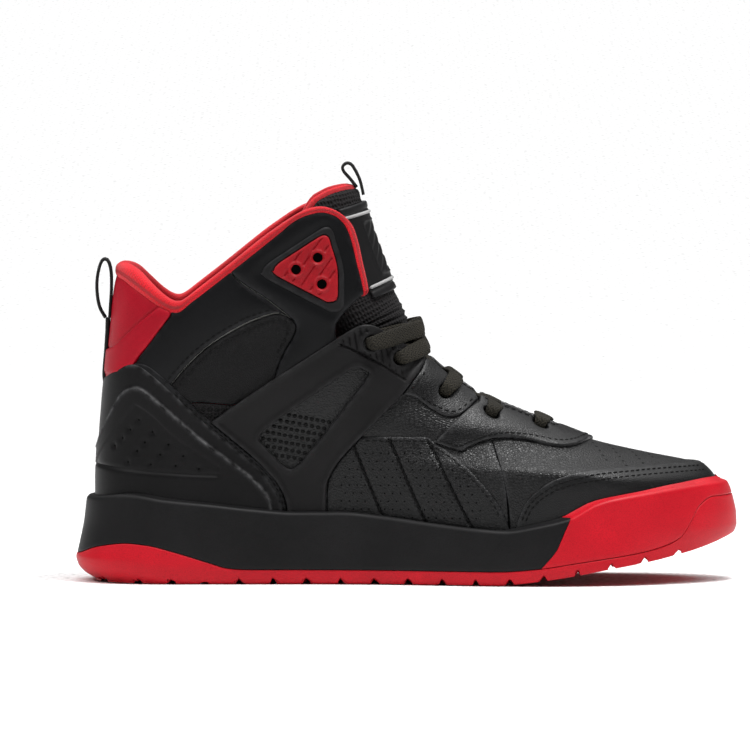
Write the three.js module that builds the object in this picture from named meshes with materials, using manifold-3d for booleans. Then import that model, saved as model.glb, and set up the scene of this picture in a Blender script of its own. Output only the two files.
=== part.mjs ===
// Basketball high top, right shoe, as an assembly of its separate pieces.
// Millimetres. +X points to the toe, +Y to the medial (inner) side, +Z up.
// The origin is on the ground under the middle of the sole's length.
//
// The upper is a stack of level outlines: at each height the outline runs from the heel line to the
// front line. Every layer of the upper is the space between two offsets of that stack, and every
// panel is a stretch of a layer cut out by its outline in side view.
import * as THREE from "three";
import { mergeVertices } from "three/addons/utils/BufferGeometryUtils.js";
import Module from "manifold-3d";

const wasm = await Module();
wasm.setup();

// ---------- driving dimensions ----------
const GAP = 0.3; // between pieces that touch
const RING = 12; // steps along each side of a level outline
const TALL = 250; // taller and wider than the shoe
const MIDDLE = 2; // y of the middle of the heel
const LATERAL = -1;
const MEDIAL = 1;

// offsets from the outer face of the upper's leather, outwards
const LEATHER = [-1.4, 0];
const OVERLAY = [0.3, 1.7];
const CAGE = [0.3, 2.5];
const BADGE_FRAME = [0.3, 1.5];
const BADGE = [0.3, 2.4];
const STIFFENER = [-3.5, -1.7];
const VAMP_LINING = [-4.0, -3.0];
const TOE_PUFF = [-2.7, -1.7];
const ANKLE_LINING = [-4.8, -3.8];
const COLLAR_ROLL = [-6.4, 0.7];
const BOARD_ROOM = -5.4; // the edge of the strobel board
const SOCKLINER_ROOM = -6.0; // the edge of the sockliner
const SOLE_CLEARANCE = 2.8; // the cup of the sole stands this far off the leather

const TONGUE_SINK = 6.6; // the tongue's face lies this far under the line of the throat
const TONGUE_THICK = 5.0;
const LINING_THICK = 1.0;
const TONGUE_SPLIT_Z = 123.5; // the tongue leans forward from here

const BOARD_THICK = 1.4;
const SOCKLINER_THICK = 4.5;
const RUBBER_WALL = 3.6;
const RUBBER_FLOOR = 5.0;
const CORE_RISE = 8; // the midsole's core fills the rubber up to this far over the footbed's line
const TREAD_START = -137; // x of the first groove
const TREAD_PITCH = 15.3;
const TREAD_GROOVES = 19;
const TREAD_GROOVE = 2.6; // width
const TREAD_DEPTH = 2.4;

const LACE_WIDTH = 5.2;
const LACE_THICK = 1.5;
const EYELET_RADIUS = 3.9;
const VENT_RADIUS = 2.2;
const LOOP_WIDTH = 10; // heel loop and the tape it hangs on

// ---------- materials ----------
const paint = (color, roughness) => new THREE.MeshStandardMaterial({ color, roughness, metalness: 0 });
const redRubber = paint(0xd81a28, 0.5);
const blackRubber = paint(0x1c1c1d, 0.6);
const blackLeather = paint(0x19191a, 0.45);
const grainLeather = paint(0x202022, 0.55);
const blackPlastic = paint(0x242426, 0.55);
const redTextile = paint(0xd01525, 0.9);
const blackTextile = paint(0x161616, 0.95);
const foam = paint(0x8a8a86, 0.95);
const board = paint(0xcfc8b4, 0.9);

// ---------- curves ----------
// A smooth function through points whose first numbers rise, with no overshoot between them.
function through(points) {
  const x = points.map((p) => p[0]);
  const y = points.map((p) => p[1]);
  const rise = x.slice(1).map((v, i) => (y[i + 1] - y[i]) / (v - x[i]));
  const slope = x.map((_, i) => {
    if (i === 0) return rise[0];
    if (i === x.length - 1) return rise[i - 1];
    const [a, b] = [rise[i - 1], rise[i]];
    return a * b <= 0 ? 0 : (2 * a * b) / (a + b);
  });
  return (at) => {
    if (at <= x[0]) return y[0];
    if (at >= x[x.length - 1]) return y[y.length - 1];
    const i = x.findIndex((v) => v > at) - 1;
    const h = x[i + 1] - x[i];
    const t = (at - x[i]) / h;
    const a = (1 + 2 * t) * (1 - t) ** 2 * y[i] + t * (1 - t) ** 2 * h * slope[i];
    return a + t * t * (3 - 2 * t) * y[i + 1] + t * t * (t - 1) * h * slope[i + 1];
  };
}

// An outline made of runs: a run of two points is straight, a longer one is a smooth curve.
function outline(...runs) {
  const points = [];
  for (const run of runs) {
    const curve = new THREE.SplineCurve(run.map(([x, z]) => new THREE.Vector2(x, z)));
    const steps = run.length === 2 ? 1 : (run.length - 1) * 2;
    points.push(...curve.getPoints(steps));
  }
  return points.filter((p, i) => p.distanceTo(points[(i + 1) % points.length]) > 0.05);
}

// The same outline with each corner moved outwards by `by`, sharp corners kept from running far out.
const SHARPEST = 0.4;

function grown(points, by) {
  const turn = THREE.ShapeUtils.area(points) > 0 ? 1 : -1;
  return points.map((p, i) => {
    const before = points[(i + points.length - 1) % points.length];
    const after = points[(i + 1) % points.length];
    const a = p.clone().sub(before).normalize();
    const b = after.clone().sub(p).normalize();
    const out = new THREE.Vector2(a.y + b.y, -a.x - b.x).multiplyScalar(turn).normalize();
    const spread = Math.max(out.x * a.y * turn - out.y * a.x * turn, SHARPEST);
    return p.clone().addScaledVector(out, by / spread);
  });
}

// 1 at full width, falling to 0 at an end of the given length, as a rounded nose.
function nose(distance, length, power) {
  const t = Math.min(Math.max(distance / length, 0), 1);
  return (1 - (1 - t) ** power) ** (1 / power);
}

// ---------- the upper's shape ----------
const HEEL_POWER = 2.4;
const FRONT_POWER = 2.1;
const HEEL_ROUND = 38;

// heel line, x at each height
const heelLine = through([
  [0, -136], [30, -139], [45, -139], [60, -138.4], [80, -137], [92, -136.2],
  [105, -135], [115, -134], [130, -132.6], [145, -130.8], [190, -128],
]);
// front line, x at each height: toe, ridge of the vamp, throat and tongue
const frontLine = through([
  [0, 130], [14, 138], [25, 140.5], [36, 141], [42, 140.4], [46, 138.8], [49.5, 136], [52, 133],
  [53.6, 128], [57.2, 110], [61.7, 90], [64.6, 80], [70, 67], [75.7, 54], [81.7, 41], [91.5, 26],
  [99.3, 16], [105, 11.2], [109, 9.2], [114, 7.6], [119.5, 6.2], [125, 4.2], [131.5, 1],
  [139.5, -2.5], [150.5, -6.8], [161.5, -10.7], [170, -13], [176, -14.5], [190, -16.5],
]);
// how far behind the front line the outline reaches its full width
const frontRound = through([
  [20, 44], [36, 46], [46, 52], [50, 70], [52, 98], [54, 124], [57, 138], [62, 126], [70, 95],
  [80, 80], [92, 58], [100, 48], [110, 39], [120, 35], [190, 34],
]);
// half width of the foot at the sole, and of the ankle, by height
const footHalf = through([
  [-150, 31], [-100, 31], [-50, 30], [-20, 31.5], [10, 37], [40, 44], [65, 46], [90, 44],
  [115, 39.5], [135, 34.5], [150, 30],
]);
const ankleHalf = through([[30, 31], [60, 33], [90, 35], [120, 36], [150, 35], [190, 34]]);
const centreLine = through([[-20, 2], [30, 0], [60, 0], [90, 1.5], [120, 5], [150, 8.5]]);

const frontStretch = (z) => Math.hypot(1, frontLine(z + 0.5) - frontLine(z - 0.5));

function fullHalf(x, z) {
  const t = Math.min(Math.max((z - 42) / 58, 0), 1);
  const blend = t * t * (3 - 2 * t);
  return footHalf(x) * (1 - blend) + ankleHalf(z) * blend;
}

// The upper, grown outwards by `offset`: its ends and half widths at each height.
function upperSkin(offset) {
  return {
    ends: (z) => [heelLine(z) - offset, frontLine(z) + offset * frontStretch(z)],
    half(x, z) {
      const [back, front] = this.ends(z);
      const heel = nose(x - back, HEEL_ROUND + offset, HEEL_POWER);
      const toe = nose(front - x, frontRound(z) + offset * frontStretch(z), FRONT_POWER);
      return (fullHalf(x, z) + offset) * heel * toe;
    },
  };
}

// The tongue: under the line of the throat, and slimmer than the ankle, so that it can lean.
const TONGUE_SLIM = 9;
const TONGUE_TAPER = 1.5;

function tongueSkin(offset) {
  const sink = offset - TONGUE_SINK;
  return {
    ends: (z) => [heelLine(z) + 12, frontLine(z) + sink * frontStretch(z)],
    half(x, z) {
      const front = this.ends(z)[1];
      const round = frontRound(z) * TONGUE_TAPER + offset * frontStretch(z);
      return (fullHalf(x, z) - TONGUE_SLIM + offset) * nose(front - x, round, FRONT_POWER);
    },
  };
}

// ---------- the sole's shape ----------
const soleHeel = through([
  [0, -140], [2, -143.5], [4, -146.5], [7, -149], [10.5, -150], [13, -149.3], [18, -148.2],
  [27, -146.4], [34, -145.6], [43, -144.6], [60, -144.6],
]);
const soleToe = through([
  [8, 141], [14, 143.5], [18, 146.3], [21, 148.6], [25, 150], [30, 149.8], [36, 148.6],
  [41, 147.2], [44, 145.8], [46, 144], [60, 144],
]);
const soleHalf = through([
  [-150, 39.5], [-100, 39.5], [-50, 38.5], [-20, 40], [10, 45.5], [40, 52.5], [65, 54.5],
  [90, 52.5], [115, 48], [135, 43], [150, 38],
]);
const soleInset = through([[0, 2.2], [3, 0.8], [8, 0], [14, 0.2], [27, 1.4], [40, 2.6], [60, 4]]);

const soleSkin = (offset) => ({
  ends: (z) => [soleHeel(z) - offset, soleToe(z) + offset],
  half(x, z) {
    const [back, front] = this.ends(z);
    const heel = nose(x - back, 42 + offset, HEEL_POWER);
    const toe = nose(front - x, 52 + offset, 2.3);
    return (soleHalf(x) - soleInset(z) + offset) * heel * toe;
  },
});

// side-view lines of the sole, z at each x
const soleBottom = [
  [-160, 0], [42, 0], [50, 0.6], [60, 1.8], [70, 3.3], [80, 5], [90, 6.9], [100, 8.6], [110, 10.3],
  [120, 12.4], [130, 14.7], [140, 17.8], [146, 20.2], [160, 26],
];
const soleTop = [
  [-160, 38.5], [-144, 38.8], [-127, 40.6], [-110, 38.2], [-90, 36.2], [-70, 34], [-50, 32.5], [-30, 32.6],
  [-10, 30.8], [10, 28.2], [30, 26], [45, 25], [58, 27], [74.5, 31], [80, 34], [86, 37.2], [93, 39.2],
  [110, 42], [125, 44.3], [140, 45.9], [160, 46],
];
const rubberLine = [
  [-160, 8], [-149.5, 12.4], [-140, 16.4], [-127, 18.2], [-118, 17.4], [-105, 14.2], [-90, 9.6],
  [-80, 6.8], [-70, 6.3], [40, 6.2], [60, 7.6], [75, 9.8], [90, 12], [105, 14.3], [116, 17],
  [124, 20.8], [129, 28], [133, 35], [139, 38.6], [160, 39],
];
const bumperRear = [[58, 5], [64, 11], [68, 16], [71, 23], [74.5, 31], [80, 50]];
const footbed = through([
  [-150, 23], [-100, 22], [-50, 18], [0, 14.5], [50, 13], [80, 15], [100, 17.5], [120, 20.5],
  [145, 25.5],
]);

// ---------- solids ----------
function solid(geometry) {
  const plain = geometry.index ? geometry.toNonIndexed() : geometry.clone();
  for (const name of Object.keys(plain.attributes)) {
    if (name !== "position") plain.deleteAttribute(name);
  }
  const merged = mergeVertices(plain, 1e-4);
  return new wasm.Manifold(
    new wasm.Mesh({
      numProp: 3,
      vertProperties: merged.attributes.position.array,
      triVerts: new Uint32Array(merged.index.array),
    }),
  );
}

function geometryOf(manifold) {
  const mesh = manifold.getMesh();
  const positions = new Float32Array(mesh.numVert * 3);
  for (let i = 0; i < mesh.numVert; i++) {
    positions.set(mesh.vertProperties.subarray(i * mesh.numProp, i * mesh.numProp + 3), i * 3);
  }
  const geometry = new THREE.BufferGeometry();
  geometry.setAttribute("position", new THREE.BufferAttribute(positions, 3));
  geometry.setIndex(new THREE.BufferAttribute(mesh.triVerts, 1));
  geometry.computeVertexNormals();
  return geometry;
}

// A closed solid from a skin's level outlines.
function stack(skin, levels) {
  const count = RING * 2;
  const positions = [];
  for (const z of levels) {
    const [back, front] = skin.ends(z);
    for (let k = 0; k < count; k++) {
      const along = k <= RING ? k / RING : (count - k) / RING;
      const x = back + (front - back) * (0.5 - 0.5 * Math.cos(Math.PI * along));
      const side = k <= RING ? LATERAL : MEDIAL;
      const width = k % RING === 0 ? 0 : skin.half(x, z);
      positions.push(x, centreLine(x) + side * width, z);
    }
  }
  const index = [];
  for (let j = 0; j + 1 < levels.length; j++) {
    for (let k = 0; k < count; k++) {
      const [a, b] = [j * count + k, j * count + ((k + 1) % count)];
      index.push(a, b, b + count, a, b + count, a + count);
    }
  }
  const top = (levels.length - 1) * count;
  for (let k = 0; k < RING; k++) {
    const [near, next] = [k, k + 1];
    const [far, farNext] = [(count - k) % count, count - k - 1];
    if (k > 0) {
      index.push(near, far, next, top + near, top + next, top + far);
    }
    if (k < RING - 1) {
      index.push(next, far, farNext, top + next, top + farNext, top + far);
    }
  }
  const geometry = new THREE.BufferGeometry();
  geometry.setAttribute("position", new THREE.Float32BufferAttribute(positions, 3));
  geometry.setIndex(index);
  return solid(geometry);
}

// The space inside an outline in side view, between two values of y.
function sideCut(points, low = -TALL / 2, high = TALL / 2) {
  const shape = new THREE.Shape(points.map((p) => (p.isVector2 ? p : new THREE.Vector2(...p))));
  const geometry = new THREE.ExtrudeGeometry(shape, { depth: high - low, bevelEnabled: false });
  return solid(geometry.rotateX(Math.PI / 2).translate(0, high, 0));
}

const oneSide = (points, side) =>
  side === LATERAL
    ? sideCut(points, -TALL / 2, MIDDLE - GAP / 2)
    : sideCut(points, MIDDLE + GAP / 2, TALL / 2);
// One side's stretch inside an outline, clear of its neighbours' outlines.
const panelCut = (points, side, ...neighbours) =>
  neighbours.reduce((cut, n) => cut.subtract(oneSide(grown(n, GAP), side)), oneSide(points, side));
const under = (line) => sideCut([...line, [160, -30], [-160, -30]]);
const raised = (line, by) => line.map(([x, z]) => [x, z + by]);
const FOOTBED_STATIONS = [-150, -100, -60, -25, 10, 50, 85, 115, 150];
const footbedLine = (by) => FOOTBED_STATIONS.map((x) => [x, footbed(x) + by]);

function join(parts) {
  return parts.reduce((a, b) => a.add(b));
}

const UPPER_LEVELS = [4, 26, 42, 48.5, 52, 55.5, 62, 72, 85, 100, 115, 131, 150, 170, 186];
const upperSolids = new Map();
function upper(offset) {
  if (!upperSolids.has(offset)) {
    upperSolids.set(offset, stack(upperSkin(offset), UPPER_LEVELS));
  }
  return upperSolids.get(offset);
}
const shell = ([inner, outer]) => upper(outer).subtract(upper(inner));

const shoe = new THREE.Group();
function piece(name, manifold, material, parent = shoe) {
  const largest = manifold.decompose().sort((a, b) => b.volume() - a.volume())[0];
  const mesh = new THREE.Mesh(geometryOf(largest), material);
  mesh.name = name;
  parent.add(mesh);
  return mesh;
}

// ---------- laces, worked out first, because the pieces round them make room ----------
const EYELETS = [[60, 70.3], [38, 76], [17.5, 86.5], [-3.5, 101.5], [-16.5, 109]];

// The point of the upper's side at (x, z), moved out of the surface by `offset`.
function onUpper(x, z, side, offset) {
  const leatherFace = upperSkin(0);
  const half = (u, v) => leatherFace.half(u, v);
  const slopeX = (half(x + 0.2, z) - half(x - 0.2, z)) / 0.4;
  const slopeZ = (half(x, z + 0.2) - half(x, z - 0.2)) / 0.4;
  const out = new THREE.Vector3(-slopeX, side, -slopeZ).normalize();
  return new THREE.Vector3(x, centreLine(x) + side * half(x, z), z).addScaledVector(out, offset);
}

// The point of the front line nearest to a side-view point, moved outwards by `offset`.
function onRidge(x, z, offset) {
  let best = null;
  for (let h = z - 5; h < z + 30; h += 0.25) {
    const gap = Math.hypot(frontLine(h) - x, h - z);
    if (!best || gap < best.gap) best = { gap, h };
  }
  const h = best.h;
  const out = new THREE.Vector3(1, 0, -(frontLine(h + 0.5) - frontLine(h - 0.5))).normalize();
  return new THREE.Vector3(frontLine(h), centreLine(frontLine(h)), h).addScaledVector(out, offset);
}

// The point of the upper that is `reach` from the middle, on the way from an eyelet to the ridge.
function towardsThroat([x, z], side, reach, offset) {
  const ridge = onRidge(x, z, 0);
  let [low, high] = [0, 1];
  const at = (t) => [x + (ridge.x - x) * t, z + (ridge.z - z) * t];
  for (let i = 0; i < 20; i++) {
    const t = (low + high) / 2;
    if (upperSkin(0).half(...at(t)) > reach) low = t;
    else high = t;
  }
  return onUpper(...at(low), side, offset);
}

const LACE_OVER = 1.65; // middle of a lace above the piece it lies on
const LACE_UNDER = VAMP_LINING[0] - 1.3; // middle of a lace passing under the eyestays
const LACE_CROSS = 2.3; // between the two strands where they cross
const THROAT_REACHES = [15.5, 12, 8, 4, 0, -4, -8, -12, -15.5]; // y along a strand's way across

// A strand's way over the arch of the throat, from one side's eyelet to the other side's.
function overThroat(from, to, side, start, end, lift) {
  const widest = THROAT_REACHES[0];
  return THROAT_REACHES.map((reach) => {
    const t = (widest - reach) / (2 * widest);
    const base = [from[0] + (to[0] - from[0]) * t, from[1] + (to[1] - from[1]) * t];
    const dive = Math.min(Math.max((t - 0.14) / 0.62, 0), 1);
    const ease = dive * dive * (3 - 2 * dive);
    const offset = start + (end - start) * ease + lift * Math.sin(Math.PI * t);
    if (reach === 0) return onRidge(...base, offset);
    return towardsThroat(base, reach > 0 ? side : -side, Math.abs(reach), offset);
  });
}

// One half of the lace, from the lowest eyelet to its end tucked behind the tongue.
// Each strand goes over one edge of the throat, dives across it, and comes up through the far hole.
function strand(start) {
  const over = (row) => (row >= 3 ? CAGE[1] : OVERLAY[1]) + LACE_OVER;
  const through = (row, side, offsets) => offsets.map((o) => onUpper(...EYELETS[row], side, o));
  const lift = start === LATERAL ? LACE_CROSS : 0;
  const points = through(0, start, [over(0), LACE_UNDER]);
  let side = start;
  for (let row = 1; row < EYELETS.length; row++) {
    const leaving = row === 1 ? LACE_UNDER : over(row);
    points.push(...overThroat(EYELETS[row - 1], EYELETS[row], side, leaving, LACE_UNDER, lift));
    side = -side;
    points.push(...through(row, side, [LACE_UNDER, over(row)]));
  }
  const last = EYELETS[EYELETS.length - 1];
  points.push(towardsThroat(last, side, 16, over(4) + 0.6));
  points.push(onRidge(last[0] + 4, last[1] + 3, LACE_UNDER + (start === LATERAL ? 6 : 3.8)));
  return points;
}

// A flat ribbon along points, its width turned by `widthAxis`.
function ribbon(points, width, thick, steps, widthAxis) {
  const curve = new THREE.CatmullRomCurve3(points, false, "centripetal");
  const positions = [];
  for (let i = 0; i <= steps; i++) {
    const at = curve.getPointAt(i / steps);
    const tangent = curve.getTangentAt(i / steps);
    const across = widthAxis(at, tangent, i / steps).normalize();
    const normal = new THREE.Vector3().crossVectors(across, tangent).normalize();
    for (const [u, v] of [[-1, -1], [1, -1], [1, 1], [-1, 1]]) {
      const edge = at.clone().addScaledVector(across, (u * width) / 2);
      const corner = edge.addScaledVector(normal, (v * thick) / 2);
      positions.push(corner.x, corner.y, corner.z);
    }
  }
  const index = [];
  for (let i = 0; i < steps; i++) {
    for (let k = 0; k < 4; k++) {
      const [a, b] = [i * 4 + k, i * 4 + ((k + 1) % 4)];
      index.push(a, b + 4, b, a, a + 4, b + 4);
    }
  }
  const end = steps * 4;
  index.push(0, 1, 2, 0, 2, 3, end, end + 2, end + 1, end, end + 3, end + 2);
  const geometry = new THREE.BufferGeometry();
  geometry.setAttribute("position", new THREE.Float32BufferAttribute(positions, 3));
  geometry.setIndex(index);
  const made = solid(geometry);
  return made.volume() < 0 ? solid(geometry.setIndex(index.reverse())) : made;
}

// ---------- sole ----------
const SOLE_LEVELS = [-2, 2.5, 6, 10.5, 16, 24, 33, 41, 44.5, 48];
const soleBlock = stack(soleSkin(0), SOLE_LEVELS)
  .intersect(under(soleTop))
  .subtract(under(soleBottom));
const soleCore = stack(soleSkin(-RUBBER_WALL), SOLE_LEVELS)
  .subtract(under(raised(soleBottom, RUBBER_FLOOR)));
const cavity = stack(upperSkin(SOLE_CLEARANCE), UPPER_LEVELS).subtract(under(footbedLine(-GAP)));
const coreRoom = stack(soleSkin(GAP - RUBBER_WALL), SOLE_LEVELS)
  .subtract(under(raised(soleBottom, RUBBER_FLOOR - GAP)))
  .intersect(under(footbedLine(CORE_RISE)));
const inFrontOf = (line) => sideCut([...line, [160, 50], [160, -10], [58, -10]]);
const inFront = inFrontOf(bumperRear);
const inFrontClear = inFrontOf(bumperRear.map(([x, z]) => [x - GAP, z]));

// grooves across the tread, each an arch in side view
const soleBottomAt = through(soleBottom);
const tread = Array.from({ length: TREAD_GROOVES }, (_, i) => {
  const x = TREAD_START + i * TREAD_PITCH;
  const z = soleBottomAt(x);
  const half = TREAD_GROOVE / 2;
  const shoulder = z + TREAD_DEPTH * 0.7;
  return sideCut([
    [x - half, z - 5], [x + half, z - 5], [x + half, shoulder], [x, z + TREAD_DEPTH], [x - half, shoulder],
  ]);
});
const outsoleBlock = soleBlock.intersect(under(raised(rubberLine, -GAP / 2)));
piece("outsole", outsoleBlock.subtract(coreRoom).subtract(cavity).subtract(join(tread)), redRubber);

const aboveRubber = under(raised(rubberLine, GAP / 2));
piece(
  "toe_bumper",
  soleBlock.intersect(inFront).subtract(aboveRubber).subtract(coreRoom).subtract(cavity),
  redRubber,
);
const sidewall = soleBlock.subtract(aboveRubber).subtract(inFrontClear);
const core = soleCore.intersect(under(footbedLine(CORE_RISE - GAP)));
const midsoleSolid = sidewall.add(core.intersect(under(soleTop))).subtract(cavity);
piece("midsole", midsoleSolid, blackRubber);

// ---------- footbed ----------
const slab = (low, high) => under(footbedLine(high)).subtract(under(footbedLine(low)));
const linerFloor = BOARD_THICK + GAP;
piece("strobel_board", upper(BOARD_ROOM).intersect(slab(0, BOARD_THICK)), board);
piece(
  "sockliner",
  upper(SOCKLINER_ROOM).intersect(slab(linerFloor, linerFloor + SOCKLINER_THICK)),
  redTextile,
);

// ---------- side-view outlines of the panels ----------
const LOW = 0; // outlines run down past the footbed, which ends the panels
const aboveFootbed = sideCut([...footbedLine(0), [160, TALL], [-160, TALL]]);

// top line of the collar, from the back of the heel to the front of the ankle wing
const collarTop = [
  [-137, 138], [-133, 142.5], [-129, 144.5], [-124.5, 142.5], [-119, 138], [-112, 132], [-107, 128.8],
  [-103.5, 128], [-100, 129.4], [-94, 134], [-85, 141], [-75, 149], [-65, 157], [-58, 162], [-52, 166],
  [-46, 169.2], [-39, 170.8], [-33, 169.5], [-28, 166.3], [-24, 161.5], [-21.5, 154], [-19.5, 145],
  [-17.5, 136], [-16.3, 131.5],
];
// line where the red roll meets the panels
const rollBottom = [
  [-137, 134], [-131, 138.6], [-122, 132], [-112, 125.5], [-107, 123], [-103, 123], [-98, 127.3],
  [-90, 133.5], [-80, 141.3], [-70, 149], [-60, 157], [-52, 163.6], [-46, 166.8], [-39, 168.4],
  [-33, 167], [-28.8, 163.8], [-26.2, 159.5], [-24.2, 153.5], [-22.2, 145], [-20, 136.5], [-18.6, 131.5],
];
const rollOutline = [...outline(collarTop), ...outline([...rollBottom].reverse())];
const belowRoll = outline(
  rollBottom.map(([x, z]) => [x, z - GAP]),
  [[-18.6, 131.2], [-21, 130]],
  [[-21, 130], [-28, 123.5], [-33, 117.5], [-34, 113.5]],
  [[-34, 113.5], [-34, LOW]],
  [[-34, LOW], [-160, LOW]],
  [[-160, LOW], [-160, 134]],
);

const heelCover = outline(
  [
    [-150, 82], [-137, 91], [-131, 96], [-126, 98.6], [-121, 98.6], [-115, 94.5], [-108, 88.3],
    [-98, 79], [-88, 69.8], [-78, 61.5], [-68, 53], [-62, 46], [-57.5, 38], [-55.5, 30],
  ],
  [[-55.5, 30], [-55.5, LOW]],
  [[-55.5, LOW], [-160, LOW]],
  [[-160, LOW], [-150, 82]],
);
const cageOutline = outline(
  [[-54, 15], [-54, 33], [-57, 42.5], [-63, 50.5], [-70, 57.5], [-80, 66], [-88.5, 73]],
  [[-88.5, 73], [-75, 82.6], [-60, 92.6], [-45, 102.3], [-33, 110]],
  [[-33, 110], [-26, 114.5], [-20, 117.2], [-14, 116.2], [-6, 110.5], [3, 104.6], [7, 101], [6.3, 97.3]],
  [[6.3, 97.3], [-3, 84.6], [-12, 75], [-21, 66], [-30, 56]],
  [[-30, 56], [-34.5, 49], [-36.5, 42], [-36.5, 30]],
  [[-36.5, 30], [-36.5, 15]],
);
const cageWindow = outline(
  [[-21.5, 97.8], [-17.3, 95.5], [-19, 91.5]],
  [[-19, 91.5], [-33, 73], [-48, 54]],
  [[-48, 54], [-52.5, 51.5], [-57, 54]],
  [[-57, 54], [-67, 65]],
  [[-67, 65], [-65, 69], [-58, 74.6], [-46, 83], [-35, 90.6], [-27, 96]],
  [[-27, 96], [-24, 97.8], [-21.5, 97.8]],
);
// the tumbled-leather pod over the ankle bone
const anklePod = outline(
  [[-107.6, 88.6], [-99.6, 98], [-89.8, 107.2], [-76, 115.8], [-66, 120.2], [-58, 122.2], [-52, 119.8]],
  [[-52, 119.8], [-50.4, 117], [-51.4, 112], [-56, 104], [-59.4, 95], [-60, 90]],
  [[-60, 90], [-88, 72], [-96, 68]],
  [[-96, 68], [-113.6, 81.7], [-107.6, 88.6]],
);
const ankleWing = outline(
  [[-79.6, 141.5], [-80, 180]],
  [[-80, 180], [-10, 180]],
  [[-10, 180], [-18.9, 131.5]],
  [[-18.9, 131.5], [-21, 129.6], [-28, 123.2], [-33, 117.2], [-34, 112.5], [-34, 106]],
  [[-34, 106], [-60, 89.5]],
  [[-60, 89.5], [-60, 119], [-51.5, 120.5]],
  [[-51.5, 120.5], [-55, 122.6], [-64, 129.5], [-73, 135.2], [-78.4, 139.6], [-79.6, 141.5]],
);
const anklePanel = outline(
  [[-106.8, 121.4], [-106.8, 140], [-79.6, 150]],
  [[-79.6, 150], [-57, 150]],
  [[-57, 150], [-57, 110]],
  [[-57, 110], [-110, 78], [-124, 90]],
  [[-124, 90], [-123.8, 98.2]],
  [[-123.8, 98.2], [-115.6, 109.8], [-106.8, 121.4]],
);
const heelTab = outline(
  [[-100, 150], [-160, 150]],
  [[-160, 150], [-160, 70]],
  [[-160, 70], [-112, 84]],
  [[-112, 84], [-100, 150]],
);
const toePuff = [[104, 0], [160, 0], [160, 80], [92, 80]];
const heelCounter = [[-160, 0], [-160, 92], [-140, 92], [-122, 98], [-100, 79], [-84, 60], [-80, 0]];
const collarFoam = [
  [-160, 99], [-122, 99], [-100, 80], [-36, 114], [-10, 140], [-10, 200], [-160, 200],
];
const quarter = outline(
  [[-95.6, 67.6], [-88, 71.6], [-60, 89.5], [-34, 105.7]],
  [[-34, 105.7], [-26, 112], [-19, 115], [-12, 113]],
  [[-12, 113], [3, 103.4], [8.6, 100.8], [25.5, 90.6], [32, 83.4]],
  [[32, 83.4], [34, 76], [40, 60], [45, 40], [46, LOW]],
  [[46, LOW], [-60, LOW]],
  [[-60, LOW], [-62, 40], [-74, 52], [-95.6, 67.6]],
);
const ventPanel = outline(
  [[-36, 15], [-36, 42], [-34, 49.3], [-29.6, 56.3], [-20.5, 66.4]],
  [[-20.5, 66.4], [9, 66.4]],
  [[9, 66.4], [25, 55], [39, 40], [46, 27], [46, 15]],
  [[46, 15], [-36, 15]],
);
const upperEyestay = outline(
  [[-2, 85.4], [6.8, 97], [7.6, 101.2]],
  [[7.6, 101.2], [17, 96.8], [25.6, 90.6], [32.4, 82]],
  [[32.4, 82], [24, 75.8], [18, 75.4], [11, 78.8], [4, 84], [-2, 85.4]],
);
const lowerEyestay = outline(
  [[12, 63.8], [32.8, 81.6]],
  [[32.8, 81.6], [41, 90], [90, 90], [90, 68]],
  [[90, 68], [84, 63.8]],
  [[84, 63.8], [76, 61.4], [68, 61.2], [55, 64], [45, 65.4], [36, 64.6], [28, 61.6]],
  [[28, 61.6], [24, 60], [12, 63.8]],
);
const vamp = outline(
  [[32.6, 83.2], [34.4, 76], [40.4, 60], [45.4, 40], [46.4, LOW]],
  [[46.4, LOW], [160, LOW]],
  [[160, LOW], [160, 100]],
  [[160, 100], [36, 100]],
  [[36, 100], [32.6, 83.2]],
);
const toeRand = outline(
  [
    [49, LOW], [49, 24], [51, 31], [55, 38.5], [62, 44.8], [68, 48], [76, 50.2], [86, 51.2], [100, 52],
  ],
  [[100, 52], [115, 52.5], [126, 52.7], [160, 52.7]],
  [[160, 52.7], [160, LOW]],
  [[160, LOW], [49, LOW]],
);
const BADGE_OUTLINE = outline(
  [[-60, 141.6], [-59.4, 143.4], [-57, 145.6]],
  [[-57, 145.6], [-42, 155.4]],
  [[-42, 155.4], [-38, 157.6], [-35.6, 156.6], [-34.4, 153]],
  [[-34.4, 153], [-31.6, 143], [-31.2, 132]],
  [[-31.2, 132], [-31.8, 128.4], [-36, 127.6]],
  [[-36, 127.6], [-58.6, 139.4], [-60, 141.6]],
);
const BADGE_CENTRE = [-41.5, 144];
const aroundBadge = (scale) =>
  BADGE_OUTLINE.map((p) => [
    BADGE_CENTRE[0] + (p.x - BADGE_CENTRE[0]) * scale,
    BADGE_CENTRE[1] + (p.y - BADGE_CENTRE[1]) * scale,
  ]);
const VENTS = [[-50, 142.2], [-40.2, 147.6], [-38.3, 135.6]];

// the throat: the gap between the two eyestays, over the tongue
function throatGap(wider) {
  const reach = through([[7, 15.5 + wider], [32, 14.5 + wider], [60, 12.5 + wider], [67, 10], [70.5, 0.5]]);
  const points = [];
  for (let x = -40; x <= 70.5; x += 6.5) points.push([x, reach(x)]);
  points.push([70.5, reach(70.5)]);
  const shape = new THREE.Shape([
    ...points.map(([x, w]) => new THREE.Vector2(x, centreLine(x) - w)),
    ...points.reverse().map(([x, w]) => new THREE.Vector2(x, centreLine(x) + w)),
  ]);
  const geometry = new THREE.ExtrudeGeometry(shape, { depth: TALL, bevelEnabled: false });
  return solid(geometry.translate(0, 0, 40));
}
const throat = throatGap(0);
const liningThroat = throatGap(2.4); // the lining's edge stands back from the leather's

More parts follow.
